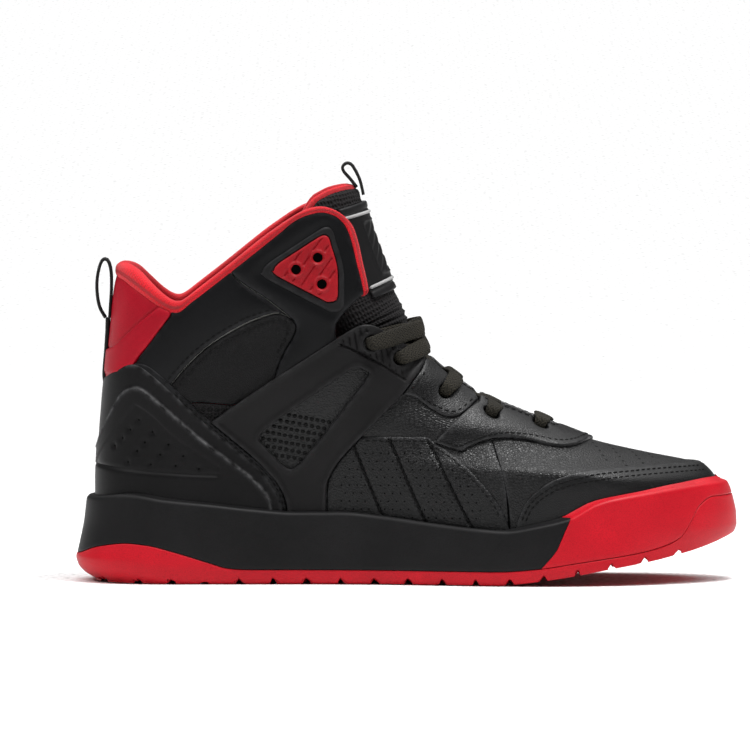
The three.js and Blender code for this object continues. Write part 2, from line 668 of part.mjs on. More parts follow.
function cylinderAt(from, to, radius) {
  const geometry = new THREE.CylinderGeometry(radius, radius, from.distanceTo(to), 10);
  const turn = new THREE.Quaternion().setFromUnitVectors(
    new THREE.Vector3(0, 1, 0),
    to.clone().sub(from).normalize(),
  );
  const middle = from.clone().add(to).multiplyScalar(0.5);
  return solid(geometry.applyQuaternion(turn).translate(middle.x, middle.y, middle.z));
}
const holeAt = ([x, z], side, radius) =>
  cylinderAt(onUpper(x, z, side, -9), onUpper(x, z, side, 9), radius);

// the lace's width lies along the throat
const laceAcross = (at, tangent) => {
  const ridge = new THREE.Vector3(frontLine(at.z + 0.5) - frontLine(at.z - 0.5), 0, 1).normalize();
  return ridge.addScaledVector(tangent, -ridge.dot(tangent));
};
const LACE_STEPS = 150;
const BAR_OFFSET = OVERLAY[1] + LACE_OVER + 0.3;
const bar = [9, 4.5, 0, -4.5, -9].map((reach) =>
  reach === 0
    ? onRidge(62, 71, BAR_OFFSET)
    : towardsThroat(EYELETS[0], reach > 0 ? MEDIAL : LATERAL, Math.abs(reach), BAR_OFFSET),
);
const lacePath = [...strand(MEDIAL).reverse(), ...bar, ...strand(LATERAL)];
const laceSolid = ribbon(lacePath, LACE_WIDTH, LACE_THICK, LACE_STEPS, laceAcross);
const eyeletHoles = join(
  [LATERAL, MEDIAL].flatMap((s) => EYELETS.map((e) => holeAt(e, s, EYELET_RADIUS))),
);
const laced = (manifold) => manifold.subtract(eyeletHoles);

// ---------- upper, both sides ----------
const leather = shell(LEATHER).intersect(aboveFootbed);
const ankleLeather = leather.intersect(sideCut(belowRoll));
const overlay = shell(OVERLAY).intersect(aboveFootbed);
const cageLayer = shell(CAGE).intersect(aboveFootbed);
const vampLining = shell(VAMP_LINING).intersect(aboveFootbed);
const ankleLining = shell(ANKLE_LINING).intersect(aboveFootbed);
const stiffener = shell(STIFFENER).intersect(aboveFootbed);

for (const [word, side] of [["lateral", LATERAL], ["medial", MEDIAL]]) {
  const part = (layer, points, ...clear) => layer.intersect(panelCut(points, side, ...clear));
  const vents = join(VENTS.map((v) => holeAt(v, side, VENT_RADIUS)));
  const badgeRoom = oneSide(aroundBadge(1.03), side);
  piece("quarter_" + word, laced(part(leather, quarter)).subtract(throat), grainLeather);
  piece("ankle_pod_" + word, part(leather, anklePod), grainLeather);
  piece("ankle_wing_" + word, part(ankleLeather, ankleWing, anklePod), blackLeather);
  piece("ankle_panel_" + word, part(ankleLeather, anklePanel, anklePod, ankleWing), blackLeather);
  piece(
    "badge_frame_" + word,
    part(shell(BADGE_FRAME), aroundBadge(1.28)).subtract(badgeRoom),
    blackRubber,
  );
  piece("vent_badge_" + word, part(shell(BADGE), aroundBadge(1)).subtract(vents), redRubber);
  piece("side_vent_panel_" + word, part(overlay, ventPanel, lowerEyestay), grainLeather);
  piece(
    "cage_" + word,
    laced(part(cageLayer, cageOutline).subtract(oneSide(cageWindow, side))).subtract(throat),
    blackPlastic,
  );
  piece("upper_eyestay_" + word, laced(part(overlay, upperEyestay)).subtract(throat), blackLeather);
  piece("ankle_lining_" + word, part(ankleLining, belowRoll), redTextile);
  piece("collar_foam_" + word, part(stiffener, belowRoll).intersect(oneSide(collarFoam, side)), foam);
}

// ---------- upper, pieces that cross the middle ----------
piece("vamp", laced(leather.intersect(sideCut(vamp))).subtract(throat), grainLeather);
piece("lower_eyestay", laced(overlay.intersect(sideCut(lowerEyestay))).subtract(throat), blackLeather);
piece("toe_rand", overlay.intersect(sideCut(toeRand)), blackLeather);
piece("toe_puff", shell(TOE_PUFF).intersect(aboveFootbed).intersect(sideCut(toePuff)), board);
const liningFront = outline(
  [[-33.6, LOW], [160, LOW]],
  [[160, LOW], [160, 120]],
  [[160, 120], [-10, 120], [-16, 114.5], [-33.6, 112]],
  [[-33.6, 112], [-33.6, LOW]],
);
const frontLining = laced(vampLining.intersect(sideCut(liningFront)));
piece("vamp_lining", frontLining.subtract(liningThroat), blackTextile);
piece("heel_cover", overlay.intersect(sideCut(heelCover)), blackRubber);
const tabRoom = [LATERAL, MEDIAL].map((s) => oneSide(grown(anklePanel, GAP), s));
piece("heel_tab", ankleLeather.intersect(sideCut(heelTab)).subtract(join(tabRoom)), redTextile);
piece("heel_counter", stiffener.intersect(sideCut(heelCounter)), board);
piece("collar_roll", shell(COLLAR_ROLL).intersect(sideCut(rollOutline)), redTextile);

// ---------- tongue ----------
const TONGUE_LEVELS = [50, 58, 67, 79, 92, 106, 123, 138, 156, 174, 184];
const tongueAt = (offset) => stack(tongueSkin(offset), TONGUE_LEVELS);
const tonguePad = tongueAt(0).subtract(tongueAt(-TONGUE_THICK));
const backFace = -TONGUE_THICK - GAP;
const tongueBack = tongueAt(backFace).subtract(tongueAt(backFace - LINING_THICK));
const tongueFrontStrip = outline(
  [[84, 50], [84, 80]],
  [[84, 80], [60, 100]],
  [[60, 100], [30, 123]],
  [[30, 123], [-27, 123]],
  [[-27, 123], [-18, 104], [0, 86], [20, 72], [44, 60], [64, 54], [84, 50]],
);
const split = TONGUE_SPLIT_Z + GAP;
const tongueTopOutline = outline(
  [[30, split], [30, 190]],
  [[30, 190], [-20, 190]],
  [[-19, 175], [-23, 176.8], [-28, 176.8], [-36, 174.4], [-46, 169.4], [-53, 163]],
  [[-53, 163], [-50, 150], [-41, 134], [-33, split]],
);
piece("tongue_lower", tonguePad.intersect(sideCut(tongueFrontStrip)), blackTextile);
piece("tongue_lower_lining", tongueBack.intersect(sideCut(tongueFrontStrip)), redTextile);
piece("tongue_top", tonguePad.intersect(sideCut(tongueTopOutline)), blackTextile);
piece("tongue_top_lining", tongueBack.intersect(sideCut(tongueTopOutline)), redTextile);
const labelOutline = outline(
  [[30, 131.5], [30, 172]],
  [[30, 172], [-24, 170]],
  [[-24, 170], [-22, 150], [-15, 131.5]],
  [[-15, 131.5], [30, 131.5]],
);
piece("tongue_label", tongueAt(1.6).subtract(tongueAt(GAP)).intersect(sideCut(labelOutline)), blackRubber);

// ---------- pull loops ----------
const alongY = () => new THREE.Vector3(0, 1, 0);
const sidePoints = (list) => list.map(([x, z]) => new THREE.Vector3(x, centreLine(x), z));
piece(
  "heel_loop",
  ribbon(
    sidePoints([
      [-134.7, 118.8], [-134.3, 125], [-133.9, 132], [-134, 139], [-135, 143.8], [-136.8, 145.4],
      [-138.8, 143.4], [-140.3, 137], [-140.4, 130], [-139.2, 123.5], [-136.6, 118.8],
    ]),
    LOOP_WIDTH, 1.2, 22, alongY,
  ),
  blackTextile,
);
piece(
  "heel_loop_anchor",
  ribbon(
    sidePoints([[-135.4, 118], [-136, 112], [-136.8, 104], [-137.4, 98], [-138, 93]]),
    LOOP_WIDTH, 2.4, 6, alongY,
  ),
  blackTextile,
);
piece(
  "tongue_loop",
  ribbon(
    sidePoints([
      [-22.6, 178], [-25.6, 181.8], [-28.4, 185], [-29, 187.2], [-27.4, 188.8], [-25.2, 188.4],
      [-23.2, 185.6], [-21.3, 181.6], [-20.3, 178],
    ]),
    9, 1.0, 18, alongY,
  ),
  blackTextile,
);
piece("lace", laceSolid, blackTextile);

export default shoe;
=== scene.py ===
"""Basketball high top, right shoe: the looks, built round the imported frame.

Shapes are worked out in millimetres in the part's own frame (+X toe, +Y medial, +Z up) and turned
into metres when a mesh is made. The upper is a stack of level outlines, as the CAD part has it. A chart
maps a stretch of that surface flat, and a panel is an outline on a chart, filled and given thickness.
"""
import math

import bpy
import numpy as np
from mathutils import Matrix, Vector
from mathutils.geometry import delaunay_2d_cdt


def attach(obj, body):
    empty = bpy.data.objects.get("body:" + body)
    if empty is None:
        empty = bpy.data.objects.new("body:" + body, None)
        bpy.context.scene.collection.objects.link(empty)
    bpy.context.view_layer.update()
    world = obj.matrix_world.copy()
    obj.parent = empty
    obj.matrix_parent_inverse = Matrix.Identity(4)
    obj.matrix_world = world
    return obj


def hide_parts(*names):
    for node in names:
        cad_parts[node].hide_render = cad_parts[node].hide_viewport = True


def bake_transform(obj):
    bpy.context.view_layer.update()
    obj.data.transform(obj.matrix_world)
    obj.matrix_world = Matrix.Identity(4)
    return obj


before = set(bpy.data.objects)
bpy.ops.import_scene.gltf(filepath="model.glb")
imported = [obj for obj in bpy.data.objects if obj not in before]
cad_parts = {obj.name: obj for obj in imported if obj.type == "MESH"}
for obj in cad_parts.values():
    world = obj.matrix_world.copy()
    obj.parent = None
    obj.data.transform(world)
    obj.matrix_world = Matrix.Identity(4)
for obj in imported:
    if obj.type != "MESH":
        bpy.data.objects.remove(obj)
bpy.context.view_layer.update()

MM = 0.001
LATERAL, MEDIAL = -1, 1
GAP = 0.3

# offsets from the outer face of the upper's leather, as in the part
OVERLAY = 1.7
CAGE = 2.5
UNDERSIDE = -1.4
ON_LEATHER = 0.05
LINING = (-4.8, -3.8)
VAMP_LINING = (-4.0, -3.0)
TONGUE_SINK = 6.6
TONGUE_THICK = 5.0


# ---------- curves ----------
def through(points):
    """A smooth function through points whose first numbers rise, with no overshoot."""
    x, y = np.array(points, float).T
    rise = np.diff(y) / np.diff(x)
    a, b = rise[:-1], rise[1:]
    agree = a * b > 0
    inner = np.where(agree, 2 * a * b / np.where(agree, a + b, 1), 0)
    slope = np.concatenate([rise[:1], inner, rise[-1:]])

    def at(v):
        v = np.clip(v, x[0], x[-1])
        i = np.clip(np.searchsorted(x, v, side="right") - 1, 0, len(x) - 2)
        h = x[i + 1] - x[i]
        t = (v - x[i]) / h
        near = (1 + 2 * t) * (1 - t) ** 2 * y[i] + t * (1 - t) ** 2 * h * slope[i]
        return near + t * t * (3 - 2 * t) * y[i + 1] + t * t * (t - 1) * h * slope[i + 1]

    return at


def curve(points, step=1.5):
    """Points close together along a smooth curve through `points`; two points make a straight."""
    p = np.array(points, float)
    if len(p) == 2:
        count = max(1, round(np.linalg.norm(p[1] - p[0]) / step))
        return p[0] + (p[1] - p[0]) * np.linspace(0, 1, count + 1)[:, None]
    ends = np.vstack([p[:1], p, p[-1:]])
    made = []
    for i in range(len(p) - 1):
        a, b, c, d = ends[i : i + 4]
        count = max(2, round(np.linalg.norm(c - b) / step))
        t = np.linspace(0, 1, count, endpoint=False)[:, None]
        out, into = (c - a) / 2, (d - b) / 2
        made.append(
            b + out * t + (3 * (c - b) - 2 * out - into) * t**2 + (out + into - 2 * (c - b)) * t**3
        )
    made.append(p[-1:])
    return np.vstack(made)


def outline(*runs):
    """A closed outline made of runs, each a straight or a smooth curve."""
    points = np.vstack([curve(run) for run in runs])
    apart = np.linalg.norm(points - np.roll(points, -1, 0), axis=1) > 0.05
    return points[apart]


def nose(distance, length, power):
    """1 at full width, falling to 0 at an end of the given length, as a rounded nose."""
    t = np.clip(distance / length, 0, 1)
    return (1 - (1 - t) ** power) ** (1 / power)


def smooth(t):
    """0 below 0 and 1 above 1, with an even change between."""
    t = np.clip(t, 0, 1)
    return t * t * (3 - 2 * t)


def lengths(points):
    """The distance run at each point of a line, from its start."""
    return np.concatenate([[0], np.cumsum(np.linalg.norm(np.diff(points, axis=0), axis=1))])


def unit(vectors):
    return vectors / np.maximum(np.linalg.norm(vectors, axis=1), 1e-9)[:, None]


def mirrored(line, flip=(1, -1)):
    """A line on the medial side, then the same on the lateral side, coming back."""
    line = np.array(line)
    return np.vstack([line, (line * flip)[::-1]])


def both_halves(half):
    """An outline from its medial half, which starts and ends on the middle line."""
    return np.vstack([half, (half * [-1, 1])[::-1][1:-1]])


def lookup(table, row, col):
    """A table's value at a row and a column that may lie between its own."""
    row = np.clip(row, 0, table.shape[0] - 1.001)
    col = np.clip(col, 0, table.shape[1] - 1.001)
    i, j = row.astype(int), col.astype(int)
    a, b = row - i, col - j
    low = table[i, j] * (1 - b) + table[i, j + 1] * b
    high = table[i + 1, j] * (1 - b) + table[i + 1, j + 1] * b
    return low * (1 - a) + high * a


# ---------- the upper's shape, as in the part ----------
heel_line = through([
    (0, -136), (30, -139), (45, -139), (60, -138.4), (80, -137), (92, -136.2),
    (105, -135), (115, -134), (130, -132.6), (145, -130.8), (190, -128),
])
front_line = through([
    (0, 130), (14, 138), (25, 140.5), (36, 141), (42, 140.4), (46, 138.8), (49.5, 136), (52, 133),
    (53.6, 128), (57.2, 110), (61.7, 90), (64.6, 80), (70, 67), (75.7, 54), (81.7, 41), (91.5, 26),
    (99.3, 16), (105, 11.2), (109, 9.2), (114, 7.6), (119.5, 6.2), (125, 4.2), (131.5, 1),
    (139.5, -2.5), (150.5, -6.8), (161.5, -10.7), (170, -13), (176, -14.5), (190, -16.5),
])
front_round = through([
    (20, 44), (36, 46), (46, 52), (50, 70), (52, 98), (54, 124), (57, 138), (62, 126), (70, 95),
    (80, 80), (92, 58), (100, 48), (110, 39), (120, 35), (190, 34),
])
foot_half = through([
    (-150, 31), (-100, 31), (-50, 30), (-20, 31.5), (10, 37), (40, 44), (65, 46), (90, 44),
    (115, 39.5), (135, 34.5), (150, 30),
])
ankle_half = through([(30, 31), (60, 33), (90, 35), (120, 36), (150, 35), (190, 34)])
centre_line = through([(-20, 2), (30, 0), (60, 0), (90, 1.5), (120, 5), (150, 8.5)])
HEEL_ROUND, HEEL_POWER, FRONT_POWER = 38, 2.4, 2.1
TONGUE_SLIM, TONGUE_TAPER = 9, 1.5


def full_half(x, z):
    blend = smooth((z - 42) / 58)
    return foot_half(x) * (1 - blend) + ankle_half(z) * blend


def front_stretch(z):
    return np.hypot(1, front_line(z + 0.5) - front_line(z - 0.5))


class Upper:
    """The outer face of the upper's leather."""

    def ends(self, z):
        return heel_line(z), front_line(z)

    def half(self, x, z):
        back, front = self.ends(z)
        heel = nose(x - back, HEEL_ROUND, HEEL_POWER)
        return full_half(x, z) * heel * nose(front - x, front_round(z), FRONT_POWER)


class Tongue:
    """The outer face of the tongue."""

    def ends(self, z):
        return heel_line(z) + 12, front_line(z) - TONGUE_SINK * front_stretch(z)

    def half(self, x, z):
        front = self.ends(z)[1]
        reach = front_round(z) * TONGUE_TAPER
        return (full_half(x, z) - TONGUE_SLIM) * nose(front - x, reach, FRONT_POWER)


# ---------- the sole's shape, as in the part ----------
sole_heel = through([
    (0, -140), (2, -143.5), (4, -146.5), (7, -149), (10.5, -150), (13, -149.3), (18, -148.2),
    (27, -146.4), (34, -145.6), (43, -144.6), (60, -144.6),
])
sole_toe = through([
    (8, 141), (14, 143.5), (18, 146.3), (21, 148.6), (25, 150), (30, 149.8), (36, 148.6),
    (41, 147.2), (44, 145.8), (46, 144), (60, 144),
])
sole_half = through([
    (-150, 39.5), (-100, 39.5), (-50, 38.5), (-20, 40), (10, 45.5), (40, 52.5), (65, 54.5),
    (90, 52.5), (115, 48), (135, 43), (150, 38),
])
sole_inset = through([(0, 2.2), (3, 0.8), (8, 0), (14, 0.2), (27, 1.4), (40, 2.6), (60, 4)])
sole_bottom = through([
    (-160, 0), (42, 0), (50, 0.6), (60, 1.8), (70, 3.3), (80, 5), (90, 6.9), (100, 8.6),
    (110, 10.3), (120, 12.4), (130, 14.7), (140, 17.8), (146, 20.2), (160, 26),
])
cup_top = through([
    (-160, 38.5), (-144, 38.8), (-127, 40.6), (-110, 38.2), (-90, 36.2), (-70, 34), (-50, 32.5), (-30, 32.6),
    (-10, 30.8), (10, 28.2), (30, 26), (45, 25), (58, 27), (74.5, 31), (80, 34), (86, 37.2),
    (93, 39.2), (110, 42), (125, 44.3), (140, 45.9), (160, 46),
])
rubber_line = through([
    (-160, 8), (-149.5, 12.4), (-140, 16.4), (-127, 18.2), (-118, 17.4), (-105, 14.2), (-90, 9.6),
    (-80, 6.8), (-70, 6.3), (40, 6.2), (60, 7.6), (75, 9.8), (90, 12), (105, 14.3), (116, 17),
    (124, 20.8), (129, 28), (133, 35), (139, 38.6), (160, 39),
])
bumper_rear = through([(5, 58), (11, 64), (16, 68), (23, 71), (31, 74.5), (50, 80)])
TREAD_START, TREAD_PITCH = -137, 15.3


def cup_floor(x):
    """How far down the upper's panels run inside the cup of the sole."""
    return cup_top(x) - 7


class Sole:
    """The sole's side."""

    def ends(self, z):
        return sole_heel(z), sole_toe(z)

    def half(self, x, z):
        back, front = self.ends(z)
        wide = sole_half(x) - sole_inset(z)
        return wide * nose(x - back, 42, HEEL_POWER) * nose(front - x, 52, 2.3)


def level_point(skin, t, z):
    """A point of a skin's level outline: t is 0 at the heel, -1 or 1 at the toe, lateral if negative."""
    back, front = skin.ends(z)
    x = back + (front - back) * (0.5 - 0.5 * np.cos(np.pi * np.abs(t)))
    y = centre_line(x) + np.sign(t) * skin.half(x, z)
    return np.stack([x, y, z + 0 * x], -1)


# ---------- charts: flat maps of the surface ----------
class Chart:
    """A flat map of a stretch of surface. place(uv) gives the points in space of points on the map."""

    flip = False
    CELL = 0.5

    def frame(self, uv):
        """Points of the surface and the directions out of it."""
        h = 0.2
        across = self.place(uv + [h, 0]) - self.place(uv - [h, 0])
        along = self.place(uv + [0, h]) - self.place(uv - [0, h])
        return self.place(uv), unit(np.cross(across, along) * (-1 if self.flip else 1))

    def measure(self, sections, share, reach):
        """Fills the table of how far along its share each section is, at steps of distance along it."""
        self.reach = np.arange(0, reach, self.CELL)
        self.table = np.array([np.interp(self.reach, lengths(section), share) for section in sections])

    def share_at(self, row, distance):
        return lookup(self.table, row, np.abs(distance) / self.CELL)


class SideChart(Chart):
    """(x, z) seen from one side."""

    def __init__(self, skin, side):
        self.skin, self.side, self.flip = skin, side, side == MEDIAL

    def place(self, uv):
        x, z = uv.T
        return np.stack([x, centre_line(x) + self.side * self.skin.half(x, z), z], -1)


class RingChart(Chart):
    """(distance round the level outline from the heel or the toe, height)."""

    HIGH, RISE, STEPS, REACH = 190.0, 2.0, 500, 190.0

    def __init__(self, skin, toe=False):
        self.skin, self.toe, self.flip = skin, toe, not toe
        t = np.linspace(0, 1, self.STEPS) ** 1.5
        t = 1 - t if toe else t
        levels = np.arange(0, self.HIGH + 1, self.RISE)
        self.measure([level_point(skin, t, np.full(self.STEPS, z)) for z in levels], t, self.REACH)

    def turn(self, u, z):
        """The level outline's t at a distance |u| from the end."""
        return self.share_at(z / self.RISE, u)

    def place(self, uv):
        u, z = uv.T
        t = self.turn(u, z)
        return level_point(self.skin, np.where(u < 0, -1, 1) * t, z)

    def from_side(self, points, side=MEDIAL):
        x, z = np.array(points, float).T
        back, front = self.skin.ends(z)
        share = np.clip((x - back) / (front - back), 0, 1)
        t = np.arccos(1 - 2 * share) / np.pi
        rising = -1 if self.toe else 1
        reach = [
            np.interp(rising * ti, rising * self.turn(self.reach, np.full(len(self.reach), zi)), self.reach)
            for ti, zi in zip(t, z)
        ]
        return np.stack([side * np.array(reach), z], -1)


class SectionChart(Chart):
    """(x, distance from the ridge down a cross-section)."""

    LOW, START, END, STEPS, REACH = 12.0, -40.0, 134.0, 400, 150

    def __init__(self, skin):
        self.skin = skin
        heights = np.linspace(20, 189, 3000)
        fronts = skin.ends(heights)[1]
        order = np.argsort(fronts)
        self.ridge = lambda x: np.interp(x, fronts[order], heights[order])
        q = np.linspace(0, 1, self.STEPS)
        stations = np.arange(self.START, self.END + 1, 1.0)
        self.measure([self.section(np.full(self.STEPS, x), q, 1) for x in stations], q, self.REACH)

    def section(self, x, q, side):
        top = self.ridge(x)
        z = top - (top - self.LOW) * q**2
        return np.stack([x, centre_line(x) + side * self.skin.half(x, z), z], -1)

    def drop(self, x, v):
        return self.share_at(x - self.START, v)

    def place(self, uv):
        x, v = uv.T
        return self.section(x, self.drop(x, v), np.where(v < 0, -1, 1))

    def from_side(self, points, side=MEDIAL):
        x, z = np.array(points, float).T
        top = self.ridge(x)
        q = np.sqrt(np.clip((top - z) / (top - self.LOW), 0, 1))
        v = [
            np.interp(qi, self.drop(np.full(len(self.reach), xi), self.reach), self.reach)
            for xi, qi in zip(x, q)
        ]
        return np.stack([x, side * np.array(v)], -1)


class PlanChart(Chart):
    """(x, y) seen from above, at the height of a curve along x."""

    def __init__(self, height):
        self.height = height

    def place(self, uv):
        x, y = uv.T
        return np.stack([x, y, self.height(x)], -1)


# ---------- filling an outline ----------
BATCH = 1500


def edge_distance(points, a, b):
    """Distance from each point to the nearest of the straights from a to b."""
    points = np.asarray(points, float)
    best = np.empty(len(points))
    run = b - a
    size = np.maximum((run**2).sum(1), 1e-12)
    for i in range(0, len(points), BATCH):
        p = points[i : i + BATCH, None, :]
        t = np.clip(((p - a) * run).sum(2) / size, 0, 1)
        best[i : i + BATCH] = np.linalg.norm(p - (a + run * t[..., None]), axis=2).min(1)
    return best


def distance_to(points, loops):
    """Distance from each point to the nearest edge of the loops."""
    return edge_distance(points, np.vstack(loops), np.vstack([np.roll(loop, -1, 0) for loop in loops]))


def line_distance(points, line):
    line = np.array(line, float)
    return edge_distance(points, line[:-1], line[1:])


def inside(points, loops):
    """Whether each point is inside the loops, holes left out."""
    odd = np.zeros(len(points), bool)
    for loop in loops:
        for (ax, ay), (bx, by) in zip(loop, np.roll(loop, -1, 0)):
            if ay == by:
                continue
            crosses = (ay > points[:, 1]) != (by > points[:, 1])
            odd ^= crosses & (points[:, 0] < (bx - ax) * (points[:, 1] - ay) / (by - ay) + ax)
    return odd


def even(loop, spacing):
    """The same loop with no edge longer than `spacing` and no needless short ones."""
    loop = np.array(loop, float)
    loop = loop[np.linalg.norm(loop - np.roll(loop, 1, 0), axis=1) > 0.2]
    made = []
    for a, b in zip(loop, np.roll(loop, -1, 0)):
        count = max(1, math.ceil(np.linalg.norm(b - a) / spacing))
        made.append(a + (b - a) * np.linspace(0, 1, count, endpoint=False)[:, None])
    return np.vstack(made)


def beside(loop, by, closed=True):
    """A line moved sideways by `by`, to its left if positive."""
    loop = np.array(loop, float)
    if closed:
        ahead, behind = np.roll(loop, -1, 0), np.roll(loop, 1, 0)
    else:
        ahead, behind = np.vstack([loop[1:], loop[-1:]]), np.vstack([loop[:1], loop[:-1]])
    run = unit(ahead - behind)
    return loop + by * np.stack([-run[:, 1], run[:, 0]], -1)


def along(line, pitch):
    """Evenly spaced points on a line, with the line's directions there."""
    line = np.array(line, float)
    length = lengths(line)
    count = max(1, int(length[-1] / pitch))
    middles = (np.arange(count) + 0.5) * length[-1] / count

    def at(places):
        return np.stack([np.interp(places, length, line[:, k]) for k in range(2)], -1)

    return at(middles), unit(at(middles + 0.3) - at(middles - 0.3))


DETAIL_PITCH, DETAIL_ROOM = 0.85, 1.25
DETAIL_ROWS = (0, 0.45, -0.45, 0.95, -0.95)


def detail_rows(lines, room):
    """Rows of points along lines and beside them, so that a groove or a ridge there comes out sharp."""
    rows = []
    for line in lines:
        points, run = along(line, DETAIL_PITCH)
        aside = np.stack([-run[:, 1], run[:, 0]], -1)
        rows += [points + aside * by for by in DETAIL_ROWS]
    rows = np.vstack(rows)
    return rows[room(rows)]


def fill(loops, spacing, rims, details=()):
    """Points, triangles and each point's distance from the edge, for the region inside the loops."""
    loops = [even(loop, spacing) for loop in loops]
    made = []
    for rim in rims:
        near = np.vstack([beside(loop, s * rim) for loop in loops for s in (1, -1)])
        made.append(near[inside(near, loops) & (distance_to(near, loops) > rim * 0.9)])
    edge = np.vstack(loops)
    low, high = edge.min(0), edge.max(0)
    rows = np.arange(low[1], high[1], spacing * 0.866)
    columns = np.arange(low[0], high[0], spacing)
    grid = np.array([(x + (j % 2) * spacing / 2, y) for j, y in enumerate(rows) for x in columns])
    last = rims[-1] if rims else 0
    grid = grid[inside(grid, loops) & (distance_to(grid, loops) > last + spacing * 0.45)]
    if len(details):
        for line in details:
            grid = grid[line_distance(grid, line) > DETAIL_ROOM]
        made.append(detail_rows(details, lambda p: inside(p, loops) & (distance_to(p, loops) > last + 0.25)))
    made.append(grid)
    points = np.vstack([edge, *made])
    edges, start = [], 0
    for loop in loops:
        n = len(loop)
        edges += [(start + k, start + (k + 1) % n) for k in range(n)]
        start += n
    vectors = [Vector((float(x), float(y))) for x, y in points]
    found = delaunay_2d_cdt(vectors, edges, [], 0, 1e-6, False)
    uv = np.array([(v[0], v[1]) for v in found[0]])
    triangles = np.array([f for f in found[2] if len(f) == 3])
    triangles = triangles[inside(uv[triangles].mean(1), loops)]
    used, triangles = np.unique(triangles, return_inverse=True)
    triangles = triangles.reshape(-1, 3)
    uv = uv[used]
    return uv, triangles, distance_to(uv, loops)


# ---------- objects ----------
def signed_volume(verts, faces):
    total = 0.0
    for size in {len(f) for f in faces}:
        some = np.array([f for f in faces if len(f) == size])
        first = verts[some[:, 0]]
        for k in range(1, size - 1):
            total += np.einsum("ij,ij->i", first, np.cross(verts[some[:, k]], verts[some[:, k + 1]])).sum()
    return total


def make(name, verts, faces, material, uv=None, sharp=40, edge=None):
    """A smooth-shaded object from points in mm; edge is 1 at edges with wear and on painted highlight lines,
    and 0 away from them.
    """
    verts = np.array(verts, float)
    if signed_volume(verts, faces) < 0:
        faces = [tuple(f)[::-1] for f in faces]
    mesh = bpy.data.meshes.new(name)
    mesh.from_pydata((np.array(verts) * MM).tolist(), [], [list(map(int, f)) for f in faces])
    mesh.validate()
    if uv is not None:
        layer = mesh.uv_layers.new(name="Cut")
        index = np.empty(len(mesh.loops), int)
        mesh.loops.foreach_get("vertex_index", index)
        layer.data.foreach_set("uv", (np.array(uv)[index] * 0.1).astype(np.float32).ravel())
    if edge is not None:
        mesh.attributes.new("edge", "FLOAT", "POINT").data.foreach_set("value", np.array(edge, np.float32))
    mesh.shade_smooth()
    mesh.set_sharp_from_angle(angle=math.radians(sharp))
    mesh.materials.append(material)
    made = bpy.data.objects.new(name, mesh)
    bpy.context.collection.objects.link(made)
    return made


def tube_faces(count, around, start=0, closed=False):
    """Faces that join rings of points, one after another, and cap them unless the tube closes."""
    rings = start + np.arange(count * around).reshape(count, around)
    faces = []
    for i in range(count if closed else count - 1):
        here, after = rings[i], rings[(i + 1) % count]
        faces += list(zip(here, np.roll(here, -1), np.roll(after, -1), after))
    return faces if closed else [*faces, tuple(rings[0][::-1]), tuple(rings[-1])]


def loft(name, rings, material, closed=False, uv=None, sharp=40):
    """Closed cross-sections, one after another, joined into a skin and capped unless it closes."""
    rings = np.array(rings, float)
    faces = tube_faces(*rings.shape[:2], closed=closed)
    return make(name, rings.reshape(-1, 3), faces, material, uv, sharp)


def border_of(triangles):
    """The edges that only one triangle has, running its way."""
    edges = {(a, b) for t in triangles for a, b in zip(t, np.roll(t, -1))}
    return [(a, b) for a, b in edges if (b, a) not in edges]


def slab_faces(triangles, count):
    """A top, the same turned over as a bottom, and a wall round the edge."""
    faces = [(a, b, c) for a, b, c in triangles]
    faces += [(a + count, c + count, b + count) for a, b, c in triangles]
    return faces + [(b, a, a + count, b + count) for a, b in border_of(triangles)]


def panel(name, chart, loops, bottom, top, material, rim=0.5, spacing=1.5, puff=0.0, relief=None,
          puff_reach=5.0, details=(), highlight_lines=()):
    """A piece of sheet or padding on the surface, its edge rounded over `rim`.

    Its faces lie at the heights bottom and top, and puff swells its middle. relief(uv, away) adds shape.
    details are lines where the relief is sharp, and the other lines get a painted highlight, paler as the
    edges with wear are.
    """
    uv, triangles, away = fill(loops, spacing, [rim * 0.12, rim * 0.45, rim], [*details, *highlight_lines])
    here, out = chart.frame(uv)
    near = np.clip(away / rim, 0, 1)
    height = top - rim * (1 - np.sqrt(1 - (1 - near) ** 2)) + puff * (1 - np.exp(-away / puff_reach))
    if relief:
        height = height + relief(uv, away)
    verts = np.vstack([here + out * height[:, None], here + out * bottom])
    # paler edge wear near the edge, and a painted highlight along the given lines
    wear_and_highlight = np.exp(-((away / 1.1) ** 2)) * 0.55
    for line in highlight_lines:
        wear_and_highlight = np.maximum(wear_and_highlight, np.exp(-((line_distance(uv, line) / 0.7) ** 2)))
    return make(name, verts, slab_faces(triangles, len(uv)), material, np.vstack([uv, uv]),
                edge=np.concatenate([wear_and_highlight, wear_and_highlight]))


# ---------- materials ----------
ROUGH_SPREAD = 0.12


class Nodes:
    """Adds shader nodes and links them in one call each."""

    def __init__(self, made):
        self.tree = made.node_tree

    def add(self, kind, inputs=(), **settings):
        node = self.tree.nodes.new("ShaderNode" + kind)
        for key, value in settings.items():
            setattr(node, key, value)
        for key, value in dict(inputs).items():
            if isinstance(value, bpy.types.NodeSocket):
                self.tree.links.new(value, node.inputs[key])
            else:
                node.inputs[key].default_value = value
        return node

    def math(self, operation, *values):
        return self.add("Math", dict(enumerate(values)), operation=operation).outputs[0]

    def ramp(self, factor, low, high):
        """The factor stretched so that low gives 0 and high gives 1."""
        made = self.add("MapRange", {"Value": factor, "From Min": low, "From Max": high})
        return made.outputs["Result"]

    def mix(self, factor, a, b):
        made = self.add("Mix", data_type="RGBA")
        self.tree.links.new(factor, made.inputs["Factor"])
        for key, value in ((6, a), (7, b)):
            if isinstance(value, bpy.types.NodeSocket):
                self.tree.links.new(value, made.inputs[key])
            else:
                made.inputs[key].default_value = (*value, 1)
        return made.outputs[2]


